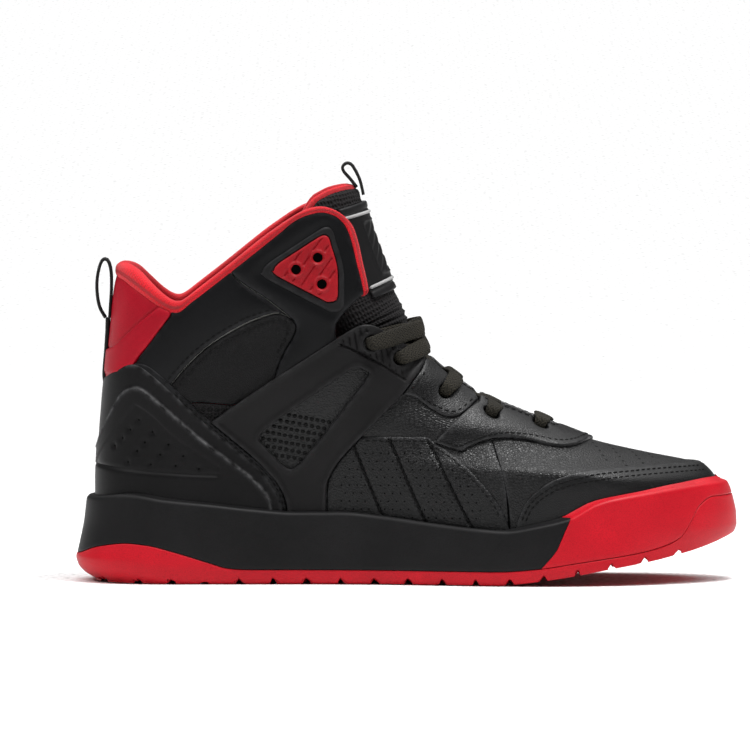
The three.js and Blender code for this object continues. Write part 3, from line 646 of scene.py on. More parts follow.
def finish_material(name, color, roughness, height, depth, spread=0.25, edge=None, sheen=0.0, specular=0.5,
                    hollow=0.55):
    """A material whose colour drifts a little, with bumps from height(nodes), and paler edges with wear and
    paler painted highlight lines where the edge attribute is high.

    The hollows of the bumps are painted darker, as shade, by `hollow`."""
    made = bpy.data.materials.new(name)
    made.use_nodes = True
    shader = made.node_tree.nodes["Principled BSDF"]
    nodes = Nodes(made)
    place = nodes.add("TexCoord").outputs["Object"]
    drift = nodes.add("TexNoise", {"Vector": place, "Scale": 45.0, "Detail": 4.0}).outputs["Fac"]
    dark = tuple(c * (1 - spread) for c in color)
    light = tuple(c * (1 + spread) for c in color)
    tint = nodes.mix(nodes.ramp(drift, 0.3, 0.7), dark, light)
    level = height(nodes, place)
    # painted shade: where the bumps are low the colour is darkened by the hollow factor
    tint = nodes.mix(nodes.ramp(level, 0.0, 0.6), tuple(c * hollow for c in color), tint)
    if edge:
        # the edge attribute holds edge wear and painted highlight lines, broken up by speckle
        rim = nodes.add("Attribute", attribute_name="edge").outputs["Fac"]
        speckle = nodes.add("TexNoise", {"Vector": place, "Scale": 260.0, "Detail": 3.0}).outputs["Fac"]
        wear_and_highlight = nodes.math("MULTIPLY", rim, nodes.ramp(speckle, 0.35, 0.75))
        tint = nodes.mix(wear_and_highlight, tint, edge)
    nodes.tree.links.new(tint, shader.inputs["Base Color"])
    rough = nodes.math("MULTIPLY_ADD", drift, ROUGH_SPREAD, roughness - ROUGH_SPREAD / 2)
    nodes.tree.links.new(rough, shader.inputs["Roughness"])
    bump = nodes.add("Bump", {"Height": level, "Distance": depth * MM, "Strength": 1.0})
    nodes.tree.links.new(bump.outputs["Normal"], shader.inputs["Normal"])
    shader.inputs["Sheen Weight"].default_value = sheen
    shader.inputs["Specular IOR Level"].default_value = specular
    return made


def pebbles(size):
    """Height of leather grain: rounded pebbles of about `size` mm with creases between."""

    def height(nodes, place):
        wobble = nodes.add("TexNoise", {"Vector": place, "Scale": 1.5 / (size * MM) / 3}).outputs["Color"]
        moved = nodes.add("VectorMath", {0: wobble, 1: (0.6 * size * MM,) * 3}, operation="MULTIPLY")
        where = nodes.add("VectorMath", {0: place, 1: moved.outputs[0]}, operation="ADD").outputs[0]
        cells = nodes.add("TexVoronoi", {"Vector": where, "Scale": 1 / (size * MM)},
                          feature="DISTANCE_TO_EDGE")
        return nodes.ramp(cells.outputs["Distance"], 0.0, 0.28)

    return height


def stipple(size):
    """Height of a moulded surface: fine even noise."""

    def height(nodes, place):
        noise = nodes.add("TexNoise", {"Vector": place, "Scale": 1 / (size * MM), "Detail": 2.0})
        return nodes.ramp(noise.outputs["Fac"], 0.25, 0.75)

    return height


def weave(across, along, slant=0.0):
    """Height of a plain weave, in yarns of the given widths in mm, on the flat cut."""

    def height(nodes, place):
        uv = nodes.add("UVMap", uv_map="Cut").outputs["UV"]
        turned = nodes.add("Mapping", {"Vector": uv, "Rotation": (0, 0, slant)}).outputs[0]
        split = nodes.add("SeparateXYZ", {"Vector": turned})
        u = nodes.math("MULTIPLY", split.outputs["X"], 10 * math.pi / across)
        v = nodes.math("MULTIPLY", split.outputs["Y"], 10 * math.pi / along)
        over = nodes.math("MULTIPLY", nodes.math("SINE", u), nodes.math("SINE", v))
        ridges = nodes.math("ABSOLUTE", nodes.math("COSINE", u))
        rows = nodes.math("ABSOLUTE", nodes.math("COSINE", v))
        cloth = nodes.math("MAXIMUM", nodes.math("MULTIPLY", ridges, nodes.ramp(over, -0.4, 0.6)),
                           nodes.math("MULTIPLY", rows, nodes.ramp(over, 0.4, -0.6)))
        return cloth

    return height


def open_mesh(pitch):
    """Height of a spacer mesh: rows of round holes."""

    def height(nodes, place):
        uv = nodes.add("UVMap", uv_map="Cut").outputs["UV"]
        holes = nodes.add("TexVoronoi", {"Vector": uv, "Scale": 10 / pitch, "Randomness": 0.25},
                          voronoi_dimensions="2D")
        return nodes.ramp(holes.outputs["Distance"], 0.12, 0.5)

    return height


EDGE_BLACK = (0.03, 0.03, 0.032)
RED_RUBBER = finish_material("red_rubber", (0.47, 0.004, 0.013), 0.45, stipple(0.35), 0.012,
                             spread=0.1, edge=(0.58, 0.02, 0.03), specular=0.18)
BADGE_RUBBER = finish_material("badge_rubber", (0.27, 0.004, 0.009), 0.5, stipple(0.35), 0.012,
                               spread=0.1, edge=(0.4, 0.015, 0.02), specular=0.15)
BLACK_RUBBER = finish_material("black_rubber", (0.006, 0.0058, 0.0062), 0.5, stipple(0.4), 0.03,
                               edge=EDGE_BLACK, specular=0.15)
# its edge colour paints edge wear and the highlight along the heel cover's ridge
MOULDED_RUBBER = finish_material("moulded_rubber", (0.0045, 0.0043, 0.0046), 0.45, stipple(0.4), 0.02,
                                 edge=(0.1, 0.1, 0.103), specular=0.11)
SMOOTH_LEATHER = finish_material("smooth_leather", (0.0026, 0.0027, 0.0033), 0.36, pebbles(0.5), 0.03,
                                 edge=EDGE_BLACK, specular=0.14)
GRAIN_LEATHER = finish_material("grain_leather", (0.0035, 0.0035, 0.0038), 0.38, pebbles(1.3), 0.13,
                                edge=EDGE_BLACK, spread=0.3, specular=0.26, hollow=0.35)
EYESTAY_LEATHER = finish_material("eyestay_leather", (0.004, 0.004, 0.0043), 0.34, pebbles(0.9), 0.06,
                                  edge=(0.05, 0.05, 0.052), spread=0.3, specular=0.25)
POD_LEATHER = finish_material("pod_leather", (0.0045, 0.0043, 0.0046), 0.5, pebbles(1.0), 0.14,
                              edge=EDGE_BLACK, specular=0.13, hollow=0.35)
MATTE_PLASTIC = finish_material("matte_plastic", (0.0075, 0.0071, 0.0074), 0.5, stipple(0.3), 0.02,
                                edge=(0.03, 0.03, 0.031), specular=0.12)
RED_KNIT = finish_material("red_knit", (0.56, 0.006, 0.014), 0.75, weave(1.5, 1.5, 0.6), 0.35,
                           sheen=0.1, specular=0.2)
RED_LEATHER = finish_material("red_leather", (0.36, 0.002, 0.013), 0.5, pebbles(0.5), 0.03,
                              edge=(0.45, 0.012, 0.022), spread=0.12, specular=0.12)
RED_LINING = finish_material("red_lining", (0.36, 0.006, 0.012), 0.85, weave(1.2, 1.2), 0.2, sheen=0.1,
                             specular=0.2)
BLACK_MESH = finish_material("black_mesh", (0.0085, 0.0075, 0.008), 0.8, open_mesh(1.7), 0.7, specular=0.2)
BLACK_WEBBING = finish_material("black_webbing", (0.007, 0.007, 0.007), 0.75, weave(1.0, 1.0, 0.5), 0.2,
                                specular=0.2)
LACE_CLOTH = finish_material("lace_cloth", (0.017, 0.0148, 0.010), 0.8, weave(1.7, 1.9, 0.785), 0.5,
                             spread=0.3, specular=0.2, hollow=0.2)
BLACK_LINING = finish_material("black_lining", (0.006, 0.006, 0.006), 0.85, weave(1.2, 1.2), 0.1,
                               specular=0.2)
THREAD = finish_material("thread", (0.0025, 0.0025, 0.0025), 0.6, stipple(0.2), 0.02, specular=0.12)
PALE_THREAD = finish_material("pale_thread", (0.3, 0.3, 0.3), 0.6, stipple(0.2), 0.02)
# near-black painted shade for the insides of holes, vents and dimples
HOLE_SHADE = finish_material("painted_hole_shade", (0.001, 0.001, 0.001), 0.9, stipple(0.4), 0.01, specular=0.05)
FOAM = finish_material("foam", (0.3, 0.3, 0.28), 0.9, stipple(0.6), 0.1)
BOARD = finish_material("board", (0.5, 0.46, 0.36), 0.85, stipple(0.8), 0.05)

upper, tongue, sole = Upper(), Tongue(), Sole()
SIDES = {LATERAL: SideChart(upper, LATERAL), MEDIAL: SideChart(upper, MEDIAL)}
WORD = {LATERAL: "lateral", MEDIAL: "medial"}
BOTH = (LATERAL, MEDIAL)
heel_chart = RingChart(upper)
toe_chart = RingChart(upper, toe=True)
top_chart = SectionChart(upper)


def lay(obj, slot, *nodes, body="shoe"):
    """Puts a finished piece on its body and hides the CAD nodes it stands for; its finish, slot, is not used.
    """
    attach(obj, body)
    if nodes:
        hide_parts(*nodes)
    return obj


# ---------- small details: seams, stitches, holes ----------
def welt(line, width, height):
    """A raised line, or a groove where the height is negative."""
    return lambda uv, away: height * np.exp(-((line_distance(uv, line) / width) ** 2))


def dimples(centres, radius, depth):
    def relief(uv, away):
        total = np.zeros(len(uv))
        for centre in centres:
            total -= depth * smooth(1 - np.linalg.norm(uv - centre, axis=1) / radius)
        return total
    return relief


def raised(area, height, soft=0.8):
    """A part of the surface that stands up inside an area, or sinks where the height is negative."""
    area = np.array(area)

    def relief(uv, away):
        near = line_distance(uv, np.vstack([area, area[:1]])) * np.where(inside(uv, [area]), 1, -1)
        return height * smooth(near / soft + 0.5)
    return relief


def rim_bead(width, height):
    """A raised rim that follows the edge."""
    return lambda uv, away: height * (1 - smooth((away - width) / width))


def together(*reliefs):
    return lambda uv, away: sum(relief(uv, away) for relief in reliefs)


STITCH_SHAPE = [(-0.5, 0.15), (-0.36, 0.8), (0, 1), (0.36, 0.8), (0.5, 0.15)]  # (place, thickness)
STITCH_SIDES, DOT_SIDES = 6, 10


def stitches(name, chart, lines, height, material, pitch=2.9, long=2.1, thick=0.62):
    """Rows of stitches lying on the surface along lines of the chart."""
    verts, faces = [], []
    for line in lines:
        points, run = along(line, pitch)
        here, out = chart.frame(points)
        ahead = unit(chart.place(points + run * 0.3) - chart.place(points - run * 0.3))
        side = np.cross(out, ahead)
        for p, o, a, s in zip(here, out, ahead, side):
            faces += tube_faces(len(STITCH_SHAPE), STITCH_SIDES, len(verts))
            for share, fat in STITCH_SHAPE:
                for k in range(STITCH_SIDES):
                    turn = 2 * math.pi * k / STITCH_SIDES
                    bulge = s * math.cos(turn) * 0.6 + o * math.sin(turn) * 0.42
                    verts.append(p + a * share * long + o * height + bulge * thick * fat)
    return lay(make(name, verts, faces, material, sharp=80), "black_leather")


def dots(name, chart, centres, radius, height, material, slot="black_leather"):
    """Small round plugs flush with a surface, near-black as the painted shade inside punched holes."""
    verts, faces = [], []
    here, out = chart.frame(np.array(centres, float))
    for p, o in zip(here, out):
        across = np.cross(o, [0, 0, 1.0])
        across /= np.linalg.norm(across)
        down = np.cross(o, across)
        faces += tube_faces(2, DOT_SIDES, len(verts))
        for level in (height - 0.5, height):
            for k in range(DOT_SIDES):
                turn = 2 * math.pi * k / DOT_SIDES
                verts.append(p + o * level + radius * (across * math.cos(turn) + down * math.sin(turn)))
    return lay(make(name, verts, faces, material, sharp=30), slot)


def disc(centre, radius):
    turn = np.linspace(0, 2 * np.pi, 20, endpoint=False)
    return np.array(centre) + radius * np.stack([np.cos(turn), np.sin(turn)], -1)


# ---------- the throat and the eyelets ----------
EYELETS = [(60, 70.3), (38, 76), (17.5, 86.5), (-3.5, 101.5), (-16.5, 109)]
EYELET_RADIUS = 3.4
throat_reach = through([(-40, 15.5), (7, 15.5), (32, 14), (60, 10.8), (67, 8.5), (70.5, 0.5)])


def throat_top(x):
    """The height at which the upper's side meets the edge of the throat."""
    low, high = np.full(len(x), 40.0), top_chart.ridge(x)
    for _ in range(30):
        middle = (low + high) / 2
        wide = upper.half(x, middle) > throat_reach(x)
        low, high = np.where(wide, middle, low), np.where(wide, high, middle)
    return low


def below_throat(points):
    points = even(points, 1.0)
    x, z = points.T
    return np.stack([x, np.where(x < 70.5, np.minimum(z, throat_top(x)), z)], -1)


def cup_line(points):
    """The same outline, ending just inside the cup of the sole."""
    points = even(points, 1.5)
    x, z = points.T
    return np.stack([x, np.maximum(z, cup_floor(x))], -1)


# ---------- side-view outlines, as in the part ----------
QUARTER = outline(
    [(-95.6, 67.6), (-88, 71.6), (-60, 89.5), (-34, 105.7)],
    [(-34, 105.7), (-26, 112), (-19, 115), (-12, 113)],
    [(-12, 113), (3, 103.4), (8.6, 100.8), (25.5, 90.6), (32.4, 83.2)],
    [(32.4, 83.2), (34.2, 76), (40.2, 60), (45.2, 40), (46.2, 0)],
    [(46.2, 0), (-60, 0)],
    [(-60, 0), (-62, 40), (-74, 52), (-95.6, 67.6)],
)
POD = outline(
    [(-107.6, 88.6), (-99.6, 98), (-89.8, 107.2), (-76, 115.8), (-66, 120.2), (-58, 122.2), (-52, 119.8)],
    [(-52, 119.8), (-50, 117), (-51, 112), (-55.6, 104), (-59, 95), (-60, 86)],
    [(-60, 86), (-64, 84), (-79, 80.5)],
    [(-79, 80.5), (-98, 81.4), (-106, 75)],
    [(-106, 75), (-113.6, 81.7), (-107.6, 88.6)],
)
GUSSET = outline(
    [(-105.8, 74.8), (-98, 81.2), (-79, 80.3)],
    [(-79, 80.3), (-64, 83.8)],
    [(-64, 83.8), (-92, 66)],
    [(-92, 66), (-105.8, 74.8)],
)
WING = outline(
    [(-79.6, 141.5), (-70, 149), (-60, 157), (-52, 163.6), (-46, 166.8), (-39, 168.4), (-33, 167),
     (-28.8, 163.8), (-26.2, 159.5), (-24.2, 153.5), (-22.2, 145), (-20, 136.5), (-18.9, 131.5)],
    [(-18.9, 131.5), (-21, 129.6), (-27.6, 123.4), (-31.6, 117.8), (-32, 112.5), (-31.5, 106)],
    [(-31.5, 106), (-60, 86)],
    [(-60, 86), (-59, 95), (-55.6, 104), (-51, 112), (-50, 117), (-52, 119.8)],
    [(-52, 119.8), (-55, 122.6), (-64, 129.5), (-73, 135.2), (-78.4, 139.6), (-79.6, 141.5)],
)
ANKLE_PANEL = outline(
    [(-106.8, 121.4), (-106.9, 123.2), (-103, 123.1), (-98, 127.3), (-90, 133.5), (-80, 141.3)],
    [(-80, 141.3), (-78.2, 139.2), (-73, 134.8), (-64, 129.1), (-55.2, 122.3), (-52.4, 120.3)],
    [(-52.4, 120.3), (-58, 122.7), (-66.3, 120.7), (-76.3, 116.3), (-90, 107.6), (-99.9, 98.3),
     (-107.9, 88.8), (-114, 81.9)],
    [(-114, 81.9), (-124, 86)],
    [(-124, 86), (-123.8, 98.2)],
    [(-123.8, 98.2), (-115.6, 109.8), (-106.8, 121.4)],
)
CAGE_OUTLINE = outline(
    [(-54, 15), (-54, 33), (-57, 42.5), (-63, 50.5), (-70, 57.5), (-80, 66), (-88.5, 73)],
    [(-88.5, 73), (-75, 82.6), (-60, 92.6), (-45, 102.3), (-33, 110)],
    [(-33, 110), (-26, 114.5), (-20, 117.2), (-14, 116.2), (-6, 110.5), (3, 104.6), (7, 101), (6.3, 97.3)],
    [(6.3, 97.3), (-3, 84.6), (-12, 75), (-21, 66), (-30, 56)],
    [(-30, 56), (-34.5, 49), (-36.5, 42), (-36.5, 30)],
    [(-36.5, 30), (-36.5, 15)],
    [(-36.5, 15), (-54, 15)],
)
CAGE_WINDOW = outline(
    [(-21.5, 97.8), (-17.3, 95.5), (-19, 91.5)],
    [(-19, 91.5), (-33, 73), (-48, 54)],
    [(-48, 54), (-52.5, 51.5), (-57, 54)],
    [(-57, 54), (-67, 65)],
    [(-67, 65), (-65, 69), (-58, 74.6), (-46, 83), (-35, 90.6), (-27, 96)],
    [(-27, 96), (-24, 97.8), (-21.5, 97.8)],
)
CAGE_FOLD = curve([(-30, 108.5), (-16, 101.5), (-1, 92)], 1.0)
VENT_PANEL = outline(
    [(-36, 15), (-36, 42), (-34, 49.3), (-29.6, 56.3), (-20.5, 66.4)],
    [(-20.5, 66.4), (9, 66.4)],
    [(9, 66.4), (25, 55), (39, 40), (46, 27), (46, 15)],
    [(46, 15), (-36, 15)],
)
UPPER_EYESTAY = outline(
    [(-2, 85.4), (6.8, 97), (7.6, 101.2)],
    [(7.6, 101.2), (17, 96.8), (25.6, 90.6), (32.2, 82.3)],
    [(32.2, 82.3), (24, 75.8), (18, 75.4), (11, 78.8), (4, 84), (-2, 85.4)],
)
EYESTAY_LOW_EDGE = [(84, 63.8), (76, 61.4), (68, 61.2), (55, 64), (45, 65.4), (36, 64.6), (28, 61.6),
                    (24, 60), (12, 63.8)]
RAND_TOP = [(49, 24), (51, 31), (55, 38.5), (62, 44.8), (68, 48), (76, 50.2), (86, 51.2), (100, 52),
            (115, 52.5), (126, 52.7), (131, 52.7)]
COVER_TOP = [(-137, 91), (-131, 96), (-126, 98.6), (-121, 98.6), (-115, 94.5), (-108, 88.3), (-98, 79),
             (-88, 69.8), (-78, 61.5), (-68, 53), (-62, 46), (-57.5, 38), (-55.5, 30)]
BADGE_OUTLINE = outline(
    [(-60, 141.6), (-59.4, 143.4), (-57, 145.6)],
    [(-57, 145.6), (-42, 155.4)],
    [(-42, 155.4), (-38, 157.6), (-35.6, 156.6), (-34.4, 153)],
    [(-34.4, 153), (-31.6, 143), (-31.2, 132)],
    [(-31.2, 132), (-31.8, 128.4), (-36, 127.6)],
    [(-36, 127.6), (-58.6, 139.4), (-60, 141.6)],
)
BADGE_CENTRE = np.array([-41.5, 144])
VENTS = [(-50, 142.2), (-40.2, 147.6), (-38.3, 135.6)]


def around_badge(scale):
    return BADGE_CENTRE + (BADGE_OUTLINE - BADGE_CENTRE) * scale


# ---------- upper: pieces on one side ----------
def build_quarter(side):
    chart, word = SIDES[side], WORD[side]
    shape = cup_line(below_throat(QUARTER))
    holes = [disc(EYELETS[row], EYELET_RADIUS) for row in (2, 3)]
    made = panel("quarter_%s_leather" % word, chart, [shape, *holes], UNDERSIDE, 0, GRAIN_LEATHER,
                 spacing=2.0, puff=0.2)
    lay(made, "grain_leather", "quarter_" + word)
    rows = [curve([(-74, z), (-30, z - 8)], 1.0) for z in np.arange(80, 58, -3.2)]
    rows = [row[inside(row, [CAGE_WINDOW])] for row in rows]
    stitches("window_stitches_" + word, chart, rows, 0.25, THREAD, pitch=2.6, long=1.9, thick=1.5)


def build_cage(side):
    chart, word = SIDES[side], WORD[side]
    shape = cup_line(below_throat(CAGE_OUTLINE))
    holes = [disc(EYELETS[row], EYELET_RADIUS) for row in (3, 4)]
    feet = along(CAGE_FOLD, 3.3)[0] + [0.1, 0.9]
    ribs = [curve([foot, foot + [-2.0, 13.0]], 1.0) for foot in feet]
    cuts = together(*(welt(rib, 0.45, -0.7) for rib in ribs))

    def inside_rim(uv, away):
        return cuts(uv, away) * smooth((away - 1.0) / 0.8)

    relief = together(rim_bead(1.3, 0.8), welt(CAGE_FOLD, 0.55, -1.2), inside_rim)
    made = panel("cage_%s_shell" % word, chart, [shape, CAGE_WINDOW, *holes], ON_LEATHER, 1.9, MATTE_PLASTIC,
                 rim=0.7, spacing=1.1, relief=relief, details=[CAGE_FOLD, *ribs])
    lay(made, "black_plastic", "cage_" + word)


def build_ankle(side):
    chart, word = SIDES[side], WORD[side]
    pod = panel("ankle_pod_%s_leather" % word, chart, [POD], UNDERSIDE, -0.35, POD_LEATHER, rim=1.1,
                spacing=1.8, puff=1.5, puff_reach=6)
    lay(pod, "grain_leather", "ankle_pod_" + word)
    gusset = panel("gusset_%s_mesh" % word, chart, [GUSSET], UNDERSIDE, -0.2, BLACK_MESH, spacing=1.8)
    lay(gusset, "grain_leather")
    rows = [curve([(-99, z), (-76, z - 1.5)], 1.0) for z in (79.4, 76.6, 73.8)]
    stitches("gusset_stitches_" + word, chart, rows, 0, THREAD, pitch=2.8, long=2.0, thick=1.4)
    hollow = around_badge(1.34)

    def beside_badge(uv, away):
        near = distance_to(uv, [hollow]) * np.where(inside(uv, [hollow]), -1, 1)
        return -0.6 * (1 - smooth((near + 0.5) / 4.0))

    wing = panel("ankle_wing_%s_leather" % word, chart, [WING], UNDERSIDE, 0.15, SMOOTH_LEATHER, rim=1.0,
                 spacing=1.8, puff=0.9, puff_reach=4, relief=beside_badge)
    lay(wing, "black_leather", "ankle_wing_" + word)
    flat = panel("ankle_panel_%s_leather" % word, chart, [ANKLE_PANEL], UNDERSIDE, 0, SMOOTH_LEATHER, rim=0.6,
                 spacing=1.8, puff=0.7, puff_reach=5)
    lay(flat, "black_leather", "ankle_panel_" + word)
    wing_seam = curve([(-79, 139.6), (-73.6, 133.6), (-64.6, 127.6), (-56, 121.2), (-51, 117.5)])
    pod_seam = curve([(-110, 89.6), (-101.5, 99.6), (-91, 109.2), (-77, 118), (-66.5, 122.4), (-58.5, 124)])
    pod_inner = curve([(-106, 87.6), (-98, 96.6), (-88.6, 105.4), (-75, 113.8), (-65.5, 118), (-58, 119.8),
                       (-54, 117.8), (-54.4, 112), (-58.6, 104)])
    stitches("ankle_seam_stitches_" + word, chart, [wing_seam, pod_seam], 0.75, THREAD)
    stitches("pod_seam_stitches_" + word, chart, [pod_inner], 0.55, THREAD)


def build_badge(side):
    chart, word = SIDES[side], WORD[side]
    surround = panel("badge_%s_surround" % word, chart, [around_badge(1.28), around_badge(1.02)], -0.6, 1.5,
                     BLACK_RUBBER, rim=0.9, spacing=1.1)
    lay(surround, "black_rubber", "badge_frame_" + word)
    run = np.array([0.552, 0.834])
    across = np.array([-run[1], run[0]])
    slats = [curve([BADGE_CENTRE + across * c - run * 16, BADGE_CENTRE + across * c + run * 16], 1.0)
             for c in (-8.8, -4.4, 0, 4.4, 8.8)]
    rings = [np.vstack([disc(v, 3.3), disc(v, 3.3)[:1]]) for v in VENTS]
    grooves = together(*(welt(slat, 0.5, -0.8) for slat in slats))

    def relief(uv, away):
        by_vent = np.min([np.linalg.norm(uv - v, axis=1) for v in VENTS], axis=0)
        ring = 0.5 * np.exp(-(((by_vent - 3.3) / 0.5) ** 2))
        return grooves(uv, away) * smooth((away - 0.8) / 0.6) * smooth((by_vent - 3.4) / 0.8) + ring

    vents = [disc(v, 2.2) for v in VENTS]
    badge = panel("vent_badge_%s_plate" % word, chart, [around_badge(1.0), *vents], -0.6, 2.0, BADGE_RUBBER,
                  rim=0.8, spacing=1.0, relief=relief, details=[*slats, *rings])
    lay(badge, "red_rubber", "vent_badge_" + word)
    # the mesh behind the vents, painted near-black as the shade inside them
    dots("vent_badge_%s_mesh" % word, chart, VENTS, 2.3, 0.55, HOLE_SHADE, "black_textile")


def build_vent_panel(side):
    """A panel with straight raised channels, each with a seam and a row of vents."""
    chart, word = SIDES[side], WORD[side]
    shape = cup_line(VENT_PANEL)
    # each channel runs straight from the upper edge down to the sole
    tops = [(-24, 62.5), (-8, 66), (9, 66)]
    feet = [(-9, 26), (10, 25), (30, 25)]
    seams = [curve([a, b], 1.0) for a, b in zip(tops, feet)]
    relief = together(*(welt(seam, 0.6, -0.9) for seam in seams))
    made = panel("side_vent_%s_leather" % word, chart, [shape], -0.2, 1.1, GRAIN_LEATHER, rim=0.8,
                 spacing=1.6, relief=relief, puff=0.4, details=seams)
    lay(made, "grain_leather", "side_vent_panel_" + word)
    edge = curve([(-19, 64.6), (8.4, 64.6)], 1.0)
    slope = curve([(10.2, 63.4), (24, 53.6), (37.6, 38.8), (42, 31)], 1.0)
    stitches("side_vent_stitches_" + word, chart, [*seams, edge, slope], 1.25, THREAD)
    holes = []
    for x in np.arange(-30, 34, 3.6):
        for z in np.arange(30, 60, 3.6):
            spot = np.array([[x + (z % 7.2) / 2, z]])
            if min(line_distance(spot, seam)[0] for seam in seams) > 1.8:
                if inside(spot, [shape])[0] and distance_to(spot, [shape])[0] > 4:
                    holes.append(spot[0])
    # near-black plugs paint the shade inside the perforations
    dots("side_vent_%s_perforations" % word, chart, holes, 0.38, 1.52, HOLE_SHADE)


def build_upper_eyestay(side):
    chart, word = SIDES[side], WORD[side]
    shape = below_throat(UPPER_EYESTAY)
    hole = disc(EYELETS[2], EYELET_RADIUS)
    made = panel("upper_eyestay_%s_leather" % word, chart, [shape, hole], ON_LEATHER, 1.3,
                 EYESTAY_LEATHER, rim=0.6, spacing=1.4, puff=0.4)
    lay(made, "black_leather", "upper_eyestay_" + word)
    seam = curve([(1.5, 87), (8.4, 95.4)], 1.0)
    low = curve([(3.6, 86.2), (11.4, 80.8), (18.4, 77.4), (23.6, 77.8), (29.8, 82.6)], 1.0)
    stitches("upper_eyestay_stitches_" + word, chart, [seam, low], 1.6, THREAD)


def build_linings(side):
    chart, word = SIDES[side], WORD[side]
    shape = outline(
        [(-126, 134), (-122, 132), (-112, 125.5), (-107, 123), (-103, 123), (-98, 127.3), (-90, 133.5),
         (-80, 141.3), (-70, 149), (-60, 157), (-52, 163.6), (-46, 166.8), (-39, 168.4), (-33, 167),
         (-28.8, 163.8), (-26.2, 159.5), (-24.2, 153.5), (-22.2, 145), (-21, 137), (-21.4, 133)],
        [(-21.4, 133), (-30, 124), (-34.4, 116.4)],
        [(-34.4, 116.4), (-33.4, 108), (-32, 20)],
        [(-32, 20), (-130, 24)],
        [(-130, 24), (-130, 90), (-126, 134)],
    )
    made = panel("ankle_lining_%s_cloth" % word, chart, [shape], *LINING, RED_LINING, rim=0.4, spacing=3.0)
    lay(made, "red_textile", "ankle_lining_" + word)


def build_heel_lining():
    """The strip of lining behind the heel, between the two sides' linings."""
    shape = outline([(-26, 24), (26, 24)], [(26, 24), (26, 128), (18, 133), (0, 136)],
                    [(0, 136), (-18, 133), (-26, 128), (-26, 24)])
    made = panel("heel_lining_cloth", heel_chart, [shape], -4.9, -3.7, RED_LINING, rim=0.4, spacing=3.0)
    lay(made, "red_textile")


def build_forefoot_lining(side):
    chart, word = SIDES[side], WORD[side]
    shape = outline(
        [(-33, 30), (-33, 104), (-26, 109), (-19, 112), (-12, 110.5), (3, 101), (25.5, 89), (32.4, 83)],
        [(32.4, 83), (60, 72), (90, 62), (112, 56.5)],
        [(112, 56.5), (112, 36), (50, 20), (0, 22), (-33, 30)],
    )
    x, z = even(shape, 1.5).T
    edge = throat_top(x) - 1.5
    shape = np.stack([x, np.where(x < 70, np.minimum(z, edge), np.minimum(z, top_chart.ridge(x) - 3))], -1)
    made = panel("forefoot_lining_" + word, chart, [shape], *VAMP_LINING, BLACK_LINING, rim=0.4, spacing=3.0)
    lay(made, "black_textile", *(["vamp_lining"] if side == LATERAL else []))


# ---------- upper: pieces that cross the middle ----------
def throat_edge(start, end):
    """The throat's edge on the medial side, as points of the top chart."""
    x = np.arange(start, end, 1.5)
    points = np.stack([x, throat_top(x)], -1)
    return top_chart.from_side(points)


def build_vamp():
    rear = curve([(34.4, 76), (40.4, 60), (45.4, 40), (47, 20)])
    rear = np.vstack([[32.6, 82], rear])
    low = np.array([(x, cup_floor(x)) for x in np.arange(47, 131, 3.0)])
    rear = rear[rear[:, 1] > cup_floor(rear[:, 0])]
    inner = throat_edge(33.5, 70)
    outer = top_chart.from_side(np.vstack([rear, low]))
    half = np.vstack([inner[::-1], outer, [[133.4, 6.0]]])
    loop = mirrored(half)
    holes = [disc(top_chart.from_side([EYELETS[row]], side)[0], EYELET_RADIUS)
             for row in (0, 1) for side in BOTH]

    made = panel("vamp_leather", top_chart, [loop, *holes], UNDERSIDE, 0, GRAIN_LEATHER,
                 spacing=2.0, puff=0.2)
    lay(made, "grain_leather", "vamp")
    spots = []
    for row in range(4):
        for k in range(6):
            x = 80 + row * 9 + k * 1.5
            spots.append((x + 3, 6 + k * 4.5 + (row % 2) * 2))
    spots = [(x, s * v) for x, v in spots for s in (1, -1) if x < 112]
    # near-black plugs paint the shade inside the perforations
    dots("vamp_perforations", top_chart, spots, 0.62, 0.22, HOLE_SHADE)


def build_lower_eyestay():
    low = top_chart.from_side(curve(EYESTAY_LOW_EDGE))
    corner = top_chart.from_side([(32.6, 80.8)])
    inner = throat_edge(33, 70)
    low = low[low[:, 1] > 2.5]
    half = np.vstack([inner[::-1], corner, low[::-1], [[84.4, 0]]])
    loop = mirrored(half)
    holes = [disc(top_chart.from_side([EYELETS[row]], side)[0], EYELET_RADIUS)
             for row in (0, 1) for side in BOTH]
    made = panel("lower_eyestay_leather", top_chart, [loop, *holes], ON_LEATHER, 1.8, EYESTAY_LEATHER,
                 rim=0.8, spacing=1.3, puff=0.5)
    lay(made, "black_leather", "lower_eyestay")
    edge = top_chart.from_side(curve([(82.5, 65), (76, 63.2), (68, 63), (55, 65.9), (45, 67.2), (36, 66.4),
                                      (28, 63.4), (24, 61.8), (15.5, 64.4)]))
    throat = throat_edge(34, 68) + [0, 1.9]
    lines = [edge, edge * [1, -1], throat, throat * [1, -1]]
    stitches("lower_eyestay_stitches", top_chart, lines, 2.05, THREAD)


def build_toe_rand():
    top = toe_chart.from_side(curve(RAND_TOP), MEDIAL)
    low = toe_chart.from_side([(x, cup_floor(x)) for x in np.arange(50, 141, 3.0)], MEDIAL)
    loop = mirrored(np.vstack([low[::-1], top]), (-1, 1))
    made = panel("toe_rand_leather", toe_chart, [loop], ON_LEATHER, 1.25, EYESTAY_LEATHER, rim=0.6,
                 spacing=1.4, puff=0.3)
    lay(made, "black_leather", "toe_rand")
    rows = []
    for drop in (1.8, 3.6):
        line = beside(top, drop, closed=False)
        rows += [line[4:-2], (line * [-1, 1])[4:-2]]
    stitches("toe_rand_stitches", toe_chart, rows, 1.5, THREAD)


